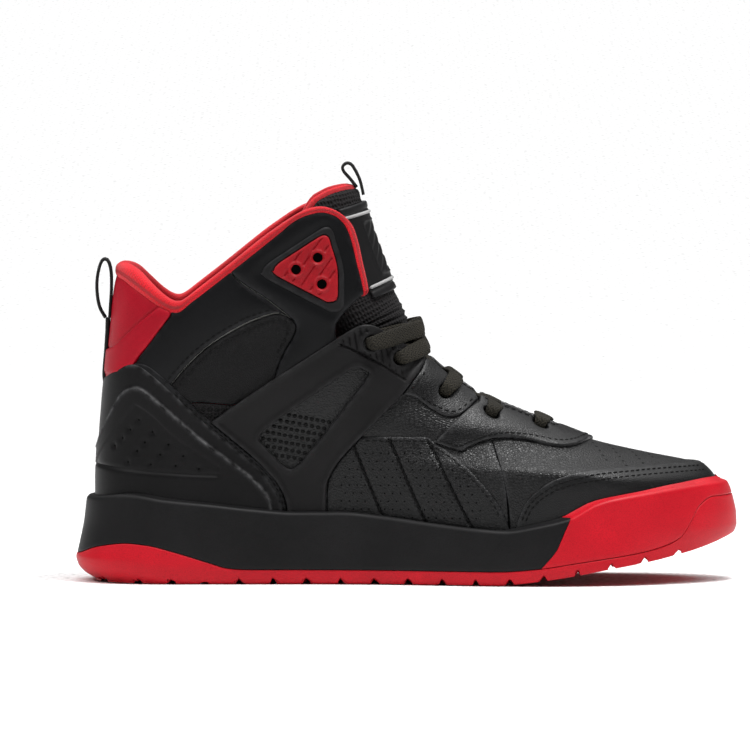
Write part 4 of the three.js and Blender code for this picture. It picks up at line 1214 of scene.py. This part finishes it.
COVER_RIDGE = [(-138.4, 60.3), (-135.7, 68.8), (-130.6, 80.1), (-127.2, 85.8), (-122.1, 88.3),
               (-117.6, 86.7), (-107.3, 77.8), (-96, 67.6), (-84.6, 58.5), (-73.3, 50), (-66.5, 43.8),
               (-62, 37), (-61.3, 32)]
COVER_FIELD = [(-139, 51.7), (-136.9, 58.6), (-130, 69.9), (-123, 79.6), (-121, 80.7), (-114, 75.6),
               (-107.3, 68.8), (-98.3, 62), (-89.2, 56.3), (-84.6, 52.9)]
COVER_FOOT = [(-85.8, 48.6), (-96, 48.9), (-118.7, 50.4), (-138.5, 52.6)]
COVER_DIMPLES = [(-120.6, 73.9), (-124.4, 69.3), (-114.7, 68.5), (-127.8, 65.4), (-118.1, 63.7),
                 (-107.7, 62.8), (-131.2, 61.7), (-121.5, 59.7), (-111.3, 58.2), (-101.1, 57.6),
                 (-125.5, 54.6), (-115.5, 53.6), (-104.5, 53.1), (-94, 51.8)]


def build_heel_cover():
    top = heel_chart.from_side(curve(COVER_TOP), MEDIAL)
    low = heel_chart.from_side([(x, cup_floor(x)) for x in np.arange(-134.0, -55, 4)], MEDIAL)
    half = np.vstack([[[0, 31.0]], low, top[::-1], [[0, 90.6]]])
    half[:, 0] = np.maximum(half[:, 0], 0)
    loop = both_halves(half)
    ridge = mirrored(heel_chart.from_side(curve(COVER_RIDGE, 1.2), MEDIAL)[::-1], (-1, 1))
    plateau = np.vstack([ridge, [[ridge[-1, 0], 20], [ridge[0, 0], 20]]])
    reliefs = [raised(plateau, 0.8, 1.6), welt(ridge, 0.7, 0.7)]
    sharp_lines, pits = [], []
    for side in BOTH:
        top_edge = heel_chart.from_side(curve(COVER_FIELD, 1.2), side)
        foot = heel_chart.from_side(curve(COVER_FOOT, 1.2), side)
        spots = heel_chart.from_side(COVER_DIMPLES, side)
        reliefs += [raised(np.vstack([top_edge, foot]), -0.6, 1.2), welt(foot, 0.9, -0.5)]
        reliefs.append(dimples(spots, 1.7, 0.9))
        sharp_lines += [top_edge, foot, *([spot - [0, 0.8], spot + [0, 0.8]] for spot in spots)]
        pits += list(spots)
    # the ridge line gets a painted highlight, paler like edge wear
    made = panel("heel_cover_shell", heel_chart, [loop], ON_LEATHER, 1.3, MOULDED_RUBBER, rim=0.9,
                 spacing=1.15, relief=together(*reliefs), puff=0.4, details=sharp_lines, highlight_lines=[ridge])
    lay(made, "black_rubber", "heel_cover")
    # near-black plugs paint the shade in the dimples
    dots("heel_cover_dimple_shade", heel_chart, pits, 0.75, 1.2, HOLE_SHADE, "black_rubber")
    build_heel_strips()


STRIP_EDGE = [(-123, 99.4), (-117.6, 98.6), (-110, 93), (-96, 79.6), (-84.6, 69.6), (-73.3, 60.2),
              (-62, 50.6), (-56.6, 42), (-54.6, 36), (-54, 32)]
STRIP_INNER = [(-123, 97.4), (-119.6, 96), (-108.6, 87), (-98.2, 77.4), (-88.2, 68.4), (-78.2, 60),
               (-68.2, 51.5), (-62.3, 45.2), (-58.6, 38.4), (-57, 32)]


def build_heel_strips():
    """A narrow band along the heel cover's front edge, with two rows of stitches."""
    edge, inner = curve(STRIP_EDGE), curve(STRIP_INNER)
    strip = np.vstack([edge, inner[::-1]])
    share = np.linspace(0, 1, 90)

    def evenly(line):
        return np.stack([np.interp(share, np.linspace(0, 1, len(line)), column) for column in line.T], -1)

    rows = [evenly(inner) * (1 - part) + evenly(edge) * part for part in (0.48, 0.8)]
    for side in BOTH:
        chart, word = SIDES[side], WORD[side]
        band = panel("heel_strip_%s_leather" % word, chart, [strip], -0.2, 0.9, SMOOTH_LEATHER, rim=0.5,
                     spacing=1.3)
        lay(band, "black_leather")
        stitches("heel_strip_stitches_" + word, chart, [row[20:] for row in rows], 0.95, THREAD)


def build_heel_tab():
    side_edge = [(-124, 84), (-123.8, 98.2), (-115.6, 109.8), (-107.2, 121.2), (-107, 123)]
    top_edge = [(-107, 123), (-112, 125.6), (-122, 132.2), (-129, 137.4), (-132.2, 138.4)]
    side_line = heel_chart.from_side(curve(side_edge), MEDIAL)
    top_line = heel_chart.from_side(curve(top_edge), MEDIAL)
    half = np.vstack([[[0, 84.0]], side_line, top_line, [[0, 138.6]]])
    loop = both_halves(half)
    inner_edge = [(-136, 104.5), (-132, 107), (-122, 117), (-110, 127.5)]
    grooves = [heel_chart.from_side(curve(inner_edge), side) for side in BOTH]
    bands = [np.vstack([groove, heel_chart.from_side([(-106, 124), (-106, 118), (-115, 104), (-122, 94),
                                                      (-137, 94)], side)])
             for groove, side in zip(grooves, BOTH)]
    relief = together(*(welt(g, 0.6, -0.9) for g in grooves), *(raised(b, 0.9, 2.5) for b in bands))
    made = panel("heel_tab_leather", heel_chart, [loop], UNDERSIDE, -0.2, RED_LEATHER, rim=0.6, spacing=1.3,
                 relief=relief, puff=0.8, puff_reach=4, details=grooves)
    lay(made, "red_textile", "heel_tab")


COLLAR = [
    (-16.8, 131.2, -18.8, 130.6), (-17.5, 136, -20, 136.5), (-19.5, 145, -22.2, 145),
    (-21.5, 154, -24.2, 153.5), (-24, 161.5, -26.2, 159.5), (-28, 166.3, -28.8, 163.8),
    (-33, 169.5, -33, 167), (-39, 170.8, -39, 168.4), (-46, 169.2, -46, 166.8), (-52, 166, -52, 163.6),
    (-58, 162, -57, 159.4), (-65, 157, -63, 154.6), (-75, 149, -73, 146.6), (-85, 141, -83, 138.8),
    (-94, 134, -92, 131.8), (-100, 129.4, -98, 127.3), (-103.5, 128, -102.5, 123.4),
    (-107, 128.8, -106.5, 123), (-112, 132, -111.5, 125.3), (-119, 138, -118.5, 129.8),
    (-124.5, 142.5, -124, 133.6), (-129, 144.3, -129, 137), (-131.4, 143.6, -131.8, 138.4),
]


def build_collar_roll():
    """A padded roll round the collar, from one front end round the heel to the other."""
    pairs = np.array(COLLAR)
    top = heel_chart.from_side(pairs[:, :2], MEDIAL)
    low = heel_chart.from_side(pairs[:, 2:], MEDIAL)
    top[-1, 0] = low[-1, 0] = 2.5
    half = np.hstack([top, low])
    other = half[::-1] * [-1, 1, -1, 1]
    path = curve(np.vstack([half, other]), 1.6)
    up_points, up_out = heel_chart.frame(path[:, :2])
    low_points, low_out = heel_chart.frame(path[:, 2:])
    out = up_out + low_out
    out /= np.linalg.norm(out, axis=1)[:, None]
    rise = up_points - low_points
    rise -= out * (rise * out).sum(1)[:, None]
    height = np.linalg.norm(rise, axis=1)[:, None]
    rise /= height
    middle = (up_points + low_points) / 2 - out * 2.6
    angles = np.linspace(0, 2 * np.pi, 20, endpoint=False)
    step = lengths(middle)
    rings, uv = [], []
    for k, angle in enumerate(angles):
        c, s = np.cos(angle), np.sin(angle)
        wide = np.sign(c) * abs(c) ** 0.75 * 3.5
        tall = np.sign(s) * abs(s) ** 0.8
        high = np.where(tall > 0, height * 0.5, height * 0.5 + 1.0)
        rings.append(middle + out * wide + rise * tall * high)
        uv.append(np.stack([step, np.full(len(step), k * 0.9)], -1))
    rings = np.stack(rings, 1)
    ends = [(0, 0.55), (1, 0.8), (-1, 0.55), (-2, 0.8)]
    for i, scale in ends:
        centre = rings[i].mean(0)
        rings[i] = centre + (rings[i] - centre) * scale
    made = loft("collar_roll_knit", rings, RED_KNIT, uv=np.stack(uv, 1).reshape(-1, 2))
    lay(made, "red_textile", "collar_roll")


# ---------- tongue ----------
class SpineChart(Chart):
    """(distance round from the ridge, distance up the ridge), on sections square to the ridge."""

    STEPS, DEEP, RISE, REACH = 200, 60.0, 1.5, 75

    def __init__(self, skin, low, high):
        self.skin = skin
        z = np.linspace(low, high, 600)
        x = skin.ends(z)[1]
        self.up = lengths(np.stack([x, z], -1))
        lean = np.gradient(x, z)
        self.rows = np.stack([x, z, -1 / np.hypot(1, lean), lean / np.hypot(1, lean)], -1)
        q = np.linspace(0, 1, self.STEPS)
        levels = np.arange(0, self.up[-1], self.RISE)
        self.measure([self.section(np.full(self.STEPS, v), q, 1) for v in levels], q, self.REACH)

    def section(self, v, q, side):
        x, z, inx, inz = (np.interp(v, self.up, self.rows[:, k]) for k in range(4))
        deep = self.DEEP * q**2
        x, z = x + inx * deep, z + inz * deep
        return np.stack([x, centre_line(x) + side * self.skin.half(x, z), z], -1)

    def place(self, uv):
        u, v = uv.T
        return self.section(v, self.share_at(v / self.RISE, u), np.where(u < 0, -1, 1))

    def at_height(self, z):
        """How far up the ridge a height is."""
        return float(np.interp(z, self.rows[:, 1], self.up))


spine = SpineChart(tongue, 52.0, 182.0)


def build_tongue():
    """The padded tongue, which bends where it comes out of the laces."""
    at = spine.at_height
    half = [
        (0, at(54)), (10, at(55)), (17, at(62)), (20, at(75)), (26, at(93)), (34, at(103)),
        (44, at(111)), (48, at(119)), (44, at(128)), (40, at(136)), (38, at(146)), (40, at(156)),
        (41, at(165)), (39, at(170)), (33, at(174.2)), (24, at(177.4)), (14, at(178.4)), (5, at(178)),
        (0, at(177.8)),
    ]
    half = curve(half, 2.0)
    loop = both_halves(half)

    def ribs(uv, away):
        v = uv[:, 1]
        band = smooth((v - at(112)) / 2) * (1 - smooth((v - at(128.6)) / 1.5))
        wave = 0.45 * band * np.cos((v - at(112)) * 2 * np.pi / 3.4)
        top = -0.5 * np.exp(-((v - at(173.2)) / 0.7) ** 2)
        return wave + top

    made = panel("tongue_pad", spine, [loop], -TONGUE_THICK, -0.4, BLACK_MESH, rim=2.2, spacing=1.8,
                 puff=0.9, puff_reach=8, relief=ribs)
    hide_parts("tongue_lower", "tongue_top")
    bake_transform(made)
    inner = half * [0.97, 1] - [0, 1.0]
    inner = inner[inner[:, 1] > 1.0]
    below_collar = inner[:, 1] < at(138)
    widest = np.interp(inner[:, 1], [at(122), at(138)], [19, 29])
    inner[below_collar, 0] = np.minimum(inner, widest[:, None])[below_collar, 0]
    loop = np.vstack([inner, (inner * [-1, 1])[::-1]])
    back = panel("tongue_lining", spine, [loop], -TONGUE_THICK - 1.6, -TONGUE_THICK - 0.2, RED_LINING,
                 rim=0.5, spacing=3.0)
    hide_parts("tongue_lower_lining", "tongue_top_lining")
    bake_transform(back)
    piping = half[(half[:, 1] > at(146))]
    path = np.vstack([piping, (piping * [-1, 1])[::-1][1:]])
    cord_on(spine, "tongue_piping", path, -3.4, 1.9, RED_KNIT, "red_textile", "tongue")


CORD_SIDES = 8


def cord_on(chart, name, path, height, radius, material, slot, body):
    """A round bead following a line of the chart at a height over the surface."""
    here, out = chart.frame(np.array(path))
    centre = here + out * height
    run = unit(np.gradient(centre, axis=0))
    side = unit(np.cross(out, run))
    out = np.cross(run, side)
    turns = np.linspace(0, 2 * np.pi, CORD_SIDES, endpoint=False)
    rings = np.stack([centre + radius * (out * np.cos(t) + side * np.sin(t)) for t in turns], 1)
    for i in (0, -1):
        rings[i] = centre[i] + (rings[i] - centre[i]) * 0.4
    step = lengths(centre)
    uv = np.stack([np.repeat(step, CORD_SIDES), np.tile(turns * radius, len(step))], -1)
    return lay(loft(name, rings, material, uv=uv, sharp=80), slot, body=body)


def build_label():
    at = spine.at_height
    low, high = at(131.6), at(171.5)
    shape = outline(
        [(-21, low), (21, low)],
        [(21, low), (22, (low + high) / 2), (21.5, high)],
        [(21.5, high), (-21.5, high)],
        [(-21.5, high), (-22, (low + high) / 2), (-21, low)],
    )
    steps = [low + 3.4, high - 3.4]

    def emboss(uv, away):
        u, v = uv.T
        bands = sum(-0.5 * np.exp(-((v - s) / 0.5) ** 2) for s in steps)
        field = smooth((v - low - 7.5) / 1) * smooth((high - 7.5 - v) / 1)
        beyond = np.maximum(np.abs(u) - 11.5, np.abs(v - (low + high) / 2) - 12.5)
        border = 0.5 * np.exp(-(beyond / 0.6) ** 2)
        inner = smooth(-beyond / 1.5)
        chevron = np.cos((v + np.abs(u) * 0.9) * 2 * np.pi / 5.5)
        return bands + field * (border + 0.3 * inner * chevron)

    made = panel("tongue_label_plate", spine, [shape], 0.2, 2.1, BLACK_RUBBER, rim=0.8, spacing=1.0,
                 relief=emboss)
    lay(made, "black_rubber", "tongue_label", body="tongue")
    for name, level in (("low", low + 5.2), ("high", high - 5.0)):
        line = np.stack([np.linspace(-21, 21, 40), np.full(40, level)], -1)
        cord_on(spine, "label_piping_" + name, line, 2.1, 0.75, PALE_THREAD, "black_textile", "tongue")


# ---------- laces ----------
LACE_WIDTH, LACE_THICK, LACE_PRESS = 7.8, 2.1, 1.5
LACE_OVER, LACE_UNDER, LACE_CROSS, LACE_BAR = 1.4, VAMP_LINING[0] - 1.3, 2.3, 0.4
LACE_SETTLES = (0.2, 0.3, 0.8, 2.2, 3.0)  # how far each crossing sinks onto the tongue
LACE_TUCK = (-10, 98)  # where its ends go under, in side view
THROAT_HALF = 15.5


def on_upper(x, z, side, offset):
    here, out = SIDES[side].frame(np.array([[x, z]], float))
    return here[0] + out[0] * offset


def on_ridge(x, z, offset):
    """The point of the front line nearest to a side-view point, moved outwards."""
    h = np.arange(z - 5, z + 30, 0.25)
    h = h[np.argmin(np.hypot(front_line(h) - x, h - z))]
    out = np.array([1, 0, -(front_line(h + 0.5) - front_line(h - 0.5))])
    front = front_line(h)
    return np.array([front, centre_line(front), h]) + out / np.linalg.norm(out) * offset


def towards_throat(spot, side, reach, offset):
    """The point `reach` from the middle, on the way from an eyelet to the ridge."""
    spot = np.array(spot, float)
    ridge = on_ridge(*spot, 0)[[0, 2]]
    low, high = 0.0, 1.0
    for _ in range(20):
        middle = (low + high) / 2
        if upper.half(*(spot + (ridge - spot) * middle)) > reach:
            low = middle
        else:
            high = middle
    return on_upper(*(spot + (ridge - spot) * low), side, offset)


def over_throat(first, last, side, start, end, lift):
    """A strand's way over the arch of the throat, from one side's eyelet to the other side's."""
    made = []
    for reach in (THROAT_HALF, 12, 8, 4, 0, -4, -8, -12, -THROAT_HALF):
        t = (THROAT_HALF - reach) / (2 * THROAT_HALF)
        base = np.array(first) + (np.array(last) - first) * t
        ease = 1 - (1 - min(t / 0.4, 1)) ** 2
        press = LACE_PRESS if start > 0 else 0
        offset = start - press + (end - start + press) * ease + lift * min(1, 2.5 * math.sin(math.pi * t))
        if reach == 0:
            made.append(on_ridge(*base, offset))
        else:
            made.append(towards_throat(base, side if reach > 0 else -side, abs(reach), offset))
    return made



def over(row):
    return (CAGE if row >= 3 else OVERLAY) + LACE_OVER


def strand(start):
    """Half of the lace, from the lowest eyelet to its end tucked behind the tongue."""
    lifts = [(LACE_CROSS if start == LATERAL else 0) - settle for settle in LACE_SETTLES]
    points = [on_upper(*EYELETS[0], start, o) for o in (over(0), LACE_UNDER)]
    side = start
    for row in range(1, len(EYELETS)):
        leaving = LACE_UNDER if row == 1 else over(row)
        points += over_throat(EYELETS[row - 1], EYELETS[row], side, leaving, LACE_UNDER, lifts[row - 1])
        side = -side
        points += [on_upper(*EYELETS[row], side, o) for o in (LACE_UNDER, over(row))]
    return points + over_throat(EYELETS[-1], LACE_TUCK, side, over(4) + 0.4, LACE_UNDER, lifts[-1])[:-1]


def centripetal(points, step):
    """A smooth curve through unevenly spaced points in space, without loops."""
    p = np.array(points)
    apart = np.linalg.norm(np.diff(p, axis=0), axis=1) > 0.5
    p = p[np.concatenate([[True], apart])]
    p = np.vstack([2 * p[0] - p[1], p, 2 * p[-1] - p[-2]])
    knots = np.concatenate([[0], np.cumsum(np.linalg.norm(np.diff(p, axis=0), axis=1) ** 0.5)])
    made = []
    for i in range(1, len(p) - 2):
        a, b, c, d = knots[i - 1 : i + 3]
        count = max(2, round(np.linalg.norm(p[i + 1] - p[i]) / step))
        t = np.linspace(b, c, count, endpoint=False)[:, None]
        first = (b - t) / (b - a) * p[i - 1] + (t - a) / (b - a) * p[i]
        middle = (c - t) / (c - b) * p[i] + (t - b) / (c - b) * p[i + 1]
        last = (d - t) / (d - c) * p[i + 1] + (t - c) / (d - c) * p[i + 2]
        low = (c - t) / (c - a) * first + (t - a) / (c - a) * middle
        high = (d - t) / (d - b) * middle + (t - b) / (d - b) * last
        made.append((c - t) / (c - b) * low + (t - b) / (c - b) * high)
    made.append(p[-2:-1])
    return np.vstack(made)


def ribbon(name, path, width, thick, across, material, around=14, squareness=0.55):
    """A flat woven band along a path. across gives the direction of its width at each point."""
    path = np.array(path)
    run = np.gradient(path, axis=0)
    run /= np.linalg.norm(run, axis=1)[:, None]
    across = across - run * (across * run).sum(1)[:, None]
    across /= np.linalg.norm(across, axis=1)[:, None]
    out = np.cross(across, run)
    turns = np.linspace(0, 2 * np.pi, around, endpoint=False)
    wide = np.sign(np.cos(turns)) * np.abs(np.cos(turns)) ** squareness
    tall = np.sign(np.sin(turns)) * np.abs(np.sin(turns)) ** 0.8
    width = np.broadcast_to(width, len(path))[:, None]
    rings = np.stack([path + across * width / 2 * w + out * thick / 2 * h for w, h in zip(wide, tall)], 1)
    step = lengths(path)
    uv = np.stack([np.repeat(step, around), (width / 2 * wide[None, :]).ravel()], -1)
    return loft(name, rings, material, uv=uv, sharp=75)


def build_lace():
    bar = [towards_throat(EYELETS[0], side, reach, OVERLAY + LACE_BAR)
           for side, reach in ((MEDIAL, 9), (MEDIAL, 4.5), (LATERAL, 4.5), (LATERAL, 9))]
    bar.insert(2, on_ridge(62, 71, OVERLAY + LACE_BAR))
    path = centripetal(strand(MEDIAL)[::-1] + bar + strand(LATERAL), 1.0)
    slope = front_line(path[:, 2] + 0.5) - front_line(path[:, 2] - 0.5)
    across = np.stack([slope, 0 * slope, 1 + 0 * slope], -1)
    eyelets = np.array([on_upper(*e, side, 0) for e in EYELETS for side in BOTH])
    near = np.linalg.norm(path[:, None] - eyelets[None], axis=2).min(1)
    width = LACE_WIDTH * (0.68 + 0.32 * smooth((near - 1) / 6))
    made = ribbon("lace_band", path, width, LACE_THICK, across, LACE_CLOTH, around=20, squareness=0.75)
    lay(made, "black_textile", "lace")


# ---------- pull loops ----------
def webbing(name, points, width, thick, node, body, step=1.0):
    """A band of webbing across the middle plane, along a side-view line."""
    x, z = curve(points, step).T
    path = np.stack([x, centre_line(x), z], -1)
    sideways = np.tile([0.0, 1.0, 0.0], (len(path), 1))
    made = ribbon(name, path, width, thick, sideways, BLACK_WEBBING, squareness=0.4)
    lay(made, "black_textile", node, body=body)


def build_loops():
    heel = [
        (-134.7, 118.8), (-134.3, 125), (-133.9, 132), (-134, 139), (-135, 143.8), (-136.8, 145.4),
        (-138.8, 143.4), (-140.3, 137), (-140.4, 130), (-139.2, 123.5), (-136.6, 118.8),
    ]
    tape = [(-135.5, 118.6), (-135.7, 112), (-136.2, 104), (-136.8, 97), (-137, 92.5), (-136.4, 88)]
    front = [
        (-22.6, 178), (-25.6, 181.8), (-28.4, 185), (-29, 187.2), (-27.4, 188.8), (-25.2, 188.4),
        (-23.2, 185.6), (-21.3, 181.6), (-20.3, 178), (-19.6, 174.6),
    ]
    webbing("heel_pull_loop", heel, 10, 1.5, "heel_loop", "heel_loop")
    webbing("heel_loop_tape", tape, 10.5, 2.2, "heel_loop_anchor", "shoe")
    webbing("tongue_pull_loop", front, 9, 1.4, "tongue_loop", "tongue_loop", step=0.8)


# ---------- sole ----------
def turn_at(skin, x, z):
    """The level outline's t where it has that x."""
    back, front = skin.ends(z)
    return np.arccos(1 - 2 * np.clip((x - back) / (front - back), 0, 1)) / np.pi


def level_frame(skin, t, z):
    """Points of a skin's side and the directions out of it."""
    here = level_point(skin, t, z)
    across = level_point(skin, t + 0.002, z) - here
    rise = level_point(skin, t, z + 0.2) - here
    out = unit(np.cross(across, rise))
    middle = np.stack([np.clip(here[:, 0], -95, 90), centre_line(here[:, 0]), here[:, 2]], -1)
    return here, out * np.where((out * (here - middle)).sum(1) < 0, -1, 1)[:, None]


def wall(name, turn, low_line, high_line, material, count, inside_at, low_round, high_round, rows=14,
         depth=12.0, closed=False):
    """A rubber wall round the sole, from one side-view line up to another.

    turn(z) gives the columns' places on the outline at their heights z."""
    def height_of(line):
        z = np.full(count, 25.0)
        for _ in range(25):
            z = z + 0.6 * (line(level_point(sole, turn(z), z)[:, 0]) - z)
        return z

    low, high = height_of(low_line), height_of(high_line)
    steps = [(low + low_round * (1 - np.sin(a)), low_round * (1 - np.cos(a)))
             for a in np.radians(np.linspace(90, 0, 5))]
    reach = high - high_round - low - low_round
    steps += [(low + low_round + reach * share, 0.0) for share in np.linspace(0, 1, rows)[1:-1]]
    steps += [(high - high_round * (1 - np.sin(a)), high_round * (1 - np.cos(a)))
              for a in np.radians(np.linspace(0, 90, 7))]
    sections = []
    for z, inset in steps:
        z = np.broadcast_to(z, count)
        here, out = level_frame(sole, turn(z), z)
        sections.append(here - out * inset)
    rim = inside_at(turn(high), high)
    under = inside_at(turn(high), high - depth)
    sections.append(sections[-1] * 0.1 + rim * 0.9)
    sections.append(rim - [0, 0, 0.9])
    sections.append(under)
    rings = np.stack(sections, 1)
    around = lengths(rings[:, 8])
    levels = np.arange(rings.shape[1]) * 2.0
    uv = np.stack(np.broadcast_arrays(around[:, None], levels[None, :]), -1).reshape(-1, 2)
    return loft(name, rings, material, closed=closed, uv=uv, sharp=50)


def against_upper(t, z):
    here, out = level_frame(upper, t, z)
    return here + out * 2.2


def build_midsole():
    share = np.linspace(-1, 1, 321)
    made = wall("midsole_sidewall", lambda z: turn_at(sole, bumper_rear(z) - GAP, z) * share,
                lambda x: rubber_line(x) + 0.1, cup_top, BLACK_RUBBER, len(share), against_upper,
                0.4, 2.2)
    lay(made, "black_rubber", "midsole")


def build_bumper():
    share = np.linspace(0, 2, 261)

    def turn(z):
        first = turn_at(sole, bumper_rear(z), z)
        t = first + (1 - first) * share
        return np.where(share <= 1, -t, 2 - t)

    made = wall("toe_bumper_shell", turn, lambda x: rubber_line(x) + 0.1, cup_top, RED_RUBBER, len(share),
                against_upper, 0.6, 2.2)
    lay(made, "red_rubber", "toe_bumper")


NOTCH_HALF, NOTCH_TALL = 1.3, 2.8


def tread_offset(x):
    """How far x is from the nearest groove's middle."""
    return ((x - TREAD_START + TREAD_PITCH / 2) % TREAD_PITCH) - TREAD_PITCH / 2


def sole_edge(x):
    """The lower edge of the sole's side, with an arch where each groove comes out."""
    arch = NOTCH_TALL * np.sqrt(np.maximum(0, 1 - (tread_offset(x) / NOTCH_HALF) ** 2))
    return sole_bottom(x) + arch * (x < 136) * (x > TREAD_START - 3)


def build_outsole():
    x = TREAD_START + np.arange(18) * TREAD_PITCH
    x = (x[:, None] + np.array([-1.6, -1.32, -1.28, -1.1, -0.7, 0, 0.7, 1.1, 1.28, 1.32, 1.6])).ravel()
    x = x[x < 138]
    dense = turn_at(sole, x, np.full(len(x), 4.0))
    coarse = np.linspace(-1, 1, 360, endpoint=False)
    coarse = coarse[np.abs(np.abs(coarse)[:, None] - dense).min(1) > 0.003]
    share = np.sort(np.concatenate([coarse, dense, -dense]))
    made = wall("outsole_edge", lambda z: share, sole_edge, lambda x: rubber_line(x) - 0.1, RED_RUBBER,
                len(share), lambda t, z: level_point(sole, t, z) * [0.97, 0.93, 1] + [0, 0, 0.2],
                0.3, 0.6, rows=16, depth=1.2, closed=True)
    lay(made, "red_rubber", "outsole")


def build_tread():
    """The underside: a floor of rubber with wavy grooves across it."""
    turn = np.linspace(-1, 1, 160, endpoint=False)
    edge = level_point(sole, turn, np.full(160, 2.0))
    edge[:, :2] = edge[:, :2] * [0.985, 0.97]
    loop = edge[:, :2]
    x, y = loop.T
    area = np.sum(x * np.roll(y, -1) - y * np.roll(x, -1))
    loop = loop[::-1] if area < 0 else loop
    under = PlanChart(sole_bottom)

    def grooves(uv, away):
        place, width = uv.T
        wave = 2.6 * np.abs(((width / 9) % 2) - 1) - 1.3
        near = tread_offset(place + wave * smooth(away / 6))
        fine = ((place + wave - TREAD_START) % (TREAD_PITCH / 3)) - TREAD_PITCH / 6
        small = 0.6 * smooth((0.7 - np.abs(fine)) / 0.4) * smooth(away / 3)
        return 2.4 * smooth((1.6 - np.abs(near)) / 0.7) + small + 0.25 * smooth(away / 3)

    uv, triangles, away = fill([loop], 1.6, [0.8])
    here = under.place(uv)
    bottom = here + np.stack([0 * away, 0 * away, grooves(uv, away)], -1)
    top = here + [0, 0, 4.5]
    made = make("outsole_tread", np.vstack([top, bottom]), slab_faces(triangles, len(uv)), RED_RUBBER,
                np.vstack([uv, uv]))
    lay(made, "red_rubber")


# ---------- hidden pieces keep their CAD shape ----------
def finish_hidden():
    inside_finishes = {
        "strobel_board": BOARD, "sockliner": RED_LINING, "collar_foam_lateral": FOAM,
        "collar_foam_medial": FOAM, "heel_counter": BOARD, "toe_puff": BOARD,
    }
    for node, finish in inside_finishes.items():
        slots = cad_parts[node].data.materials
        for i in range(len(slots)):
            slots[i] = finish


# ---------- camera, light and floor ----------
FRAME_WIDTH = 0.3404  # what the view holds across, in metres, at the shoe


def build_camera():
    distance, rise = 10.0, math.radians(3.0)
    target = Vector((-0.0143, 0, 0.0927))
    data = bpy.data.cameras.new("camera")
    data.sensor_width = 36
    data.lens = data.sensor_width * distance / FRAME_WIDTH
    data.clip_end = 100
    camera = bpy.data.objects.new("camera", data)
    camera.location = target + Vector((0, -math.cos(rise), math.sin(rise))) * distance
    camera.rotation_euler = (math.pi / 2 - rise, 0, 0)
    bpy.context.collection.objects.link(camera)
    bpy.context.scene.camera = camera


def area_light(name, at, look, size, power):
    data = bpy.data.lights.new(name, "AREA")
    data.shape, data.size, data.energy = "SQUARE", size, power
    light = bpy.data.objects.new(name, data)
    light.location = at
    light.rotation_euler = (Vector(look) - Vector(at)).to_track_quat("-Z", "Y").to_euler()
    bpy.context.collection.objects.link(light)


def build_stage():
    bpy.ops.mesh.primitive_plane_add(size=40, location=(0, 0, -0.0004))
    floor = bpy.context.object
    floor.name = "floor"
    paper = finish_material("floor", (0.95, 0.95, 0.95), 0.7, stipple(3.0), 0.0, spread=0.0)
    floor.data.materials.append(paper)
    world = bpy.data.worlds.new("world")
    world.use_nodes = True
    nodes = Nodes(world)
    way = nodes.add("SeparateXYZ", {"Vector": nodes.add("TexCoord").outputs["Generated"]}).outputs["Z"]
    sky = nodes.add("ValToRGB", {"Fac": way})
    ramp = sky.color_ramp
    ramp.elements[0].position, ramp.elements[0].color = 0.05, (0.92, 0.92, 0.92, 1)
    ramp.elements[1].position, ramp.elements[1].color = 0.8, (2.2, 2.2, 2.2, 1)
    for position, level in ((0.12, 0.1), (0.55, 0.12)):
        ramp.elements.new(position).color = (level, level, level, 1)
    background = world.node_tree.nodes["Background"]
    world.node_tree.links.new(sky.outputs["Color"], background.inputs["Color"])
    background.inputs["Strength"].default_value = 1.0
    bpy.context.scene.world = world
    area_light("key", (0.28, -0.22, 1.3), (0.04, 0, 0.08), 0.3, 14)
    area_light("rim", (-0.9, -0.5, 0.9), (0, 0, 0.08), 0.3, 3)


build_camera()
build_stage()
for side in BOTH:
    build_quarter(side)
    build_vent_panel(side)
    build_upper_eyestay(side)
    build_cage(side)
    build_ankle(side)
    build_badge(side)
    build_linings(side)
    build_forefoot_lining(side)
build_heel_lining()
build_vamp()
build_lower_eyestay()
build_toe_rand()
build_heel_cover()
build_heel_tab()
build_collar_roll()
build_tongue()
build_label()
build_lace()
build_loops()
build_midsole()
build_bumper()
build_outsole()
build_tread()
finish_hidden()
bpy.context.scene.view_settings.view_transform = "Standard"
bpy.context.view_layer.update()
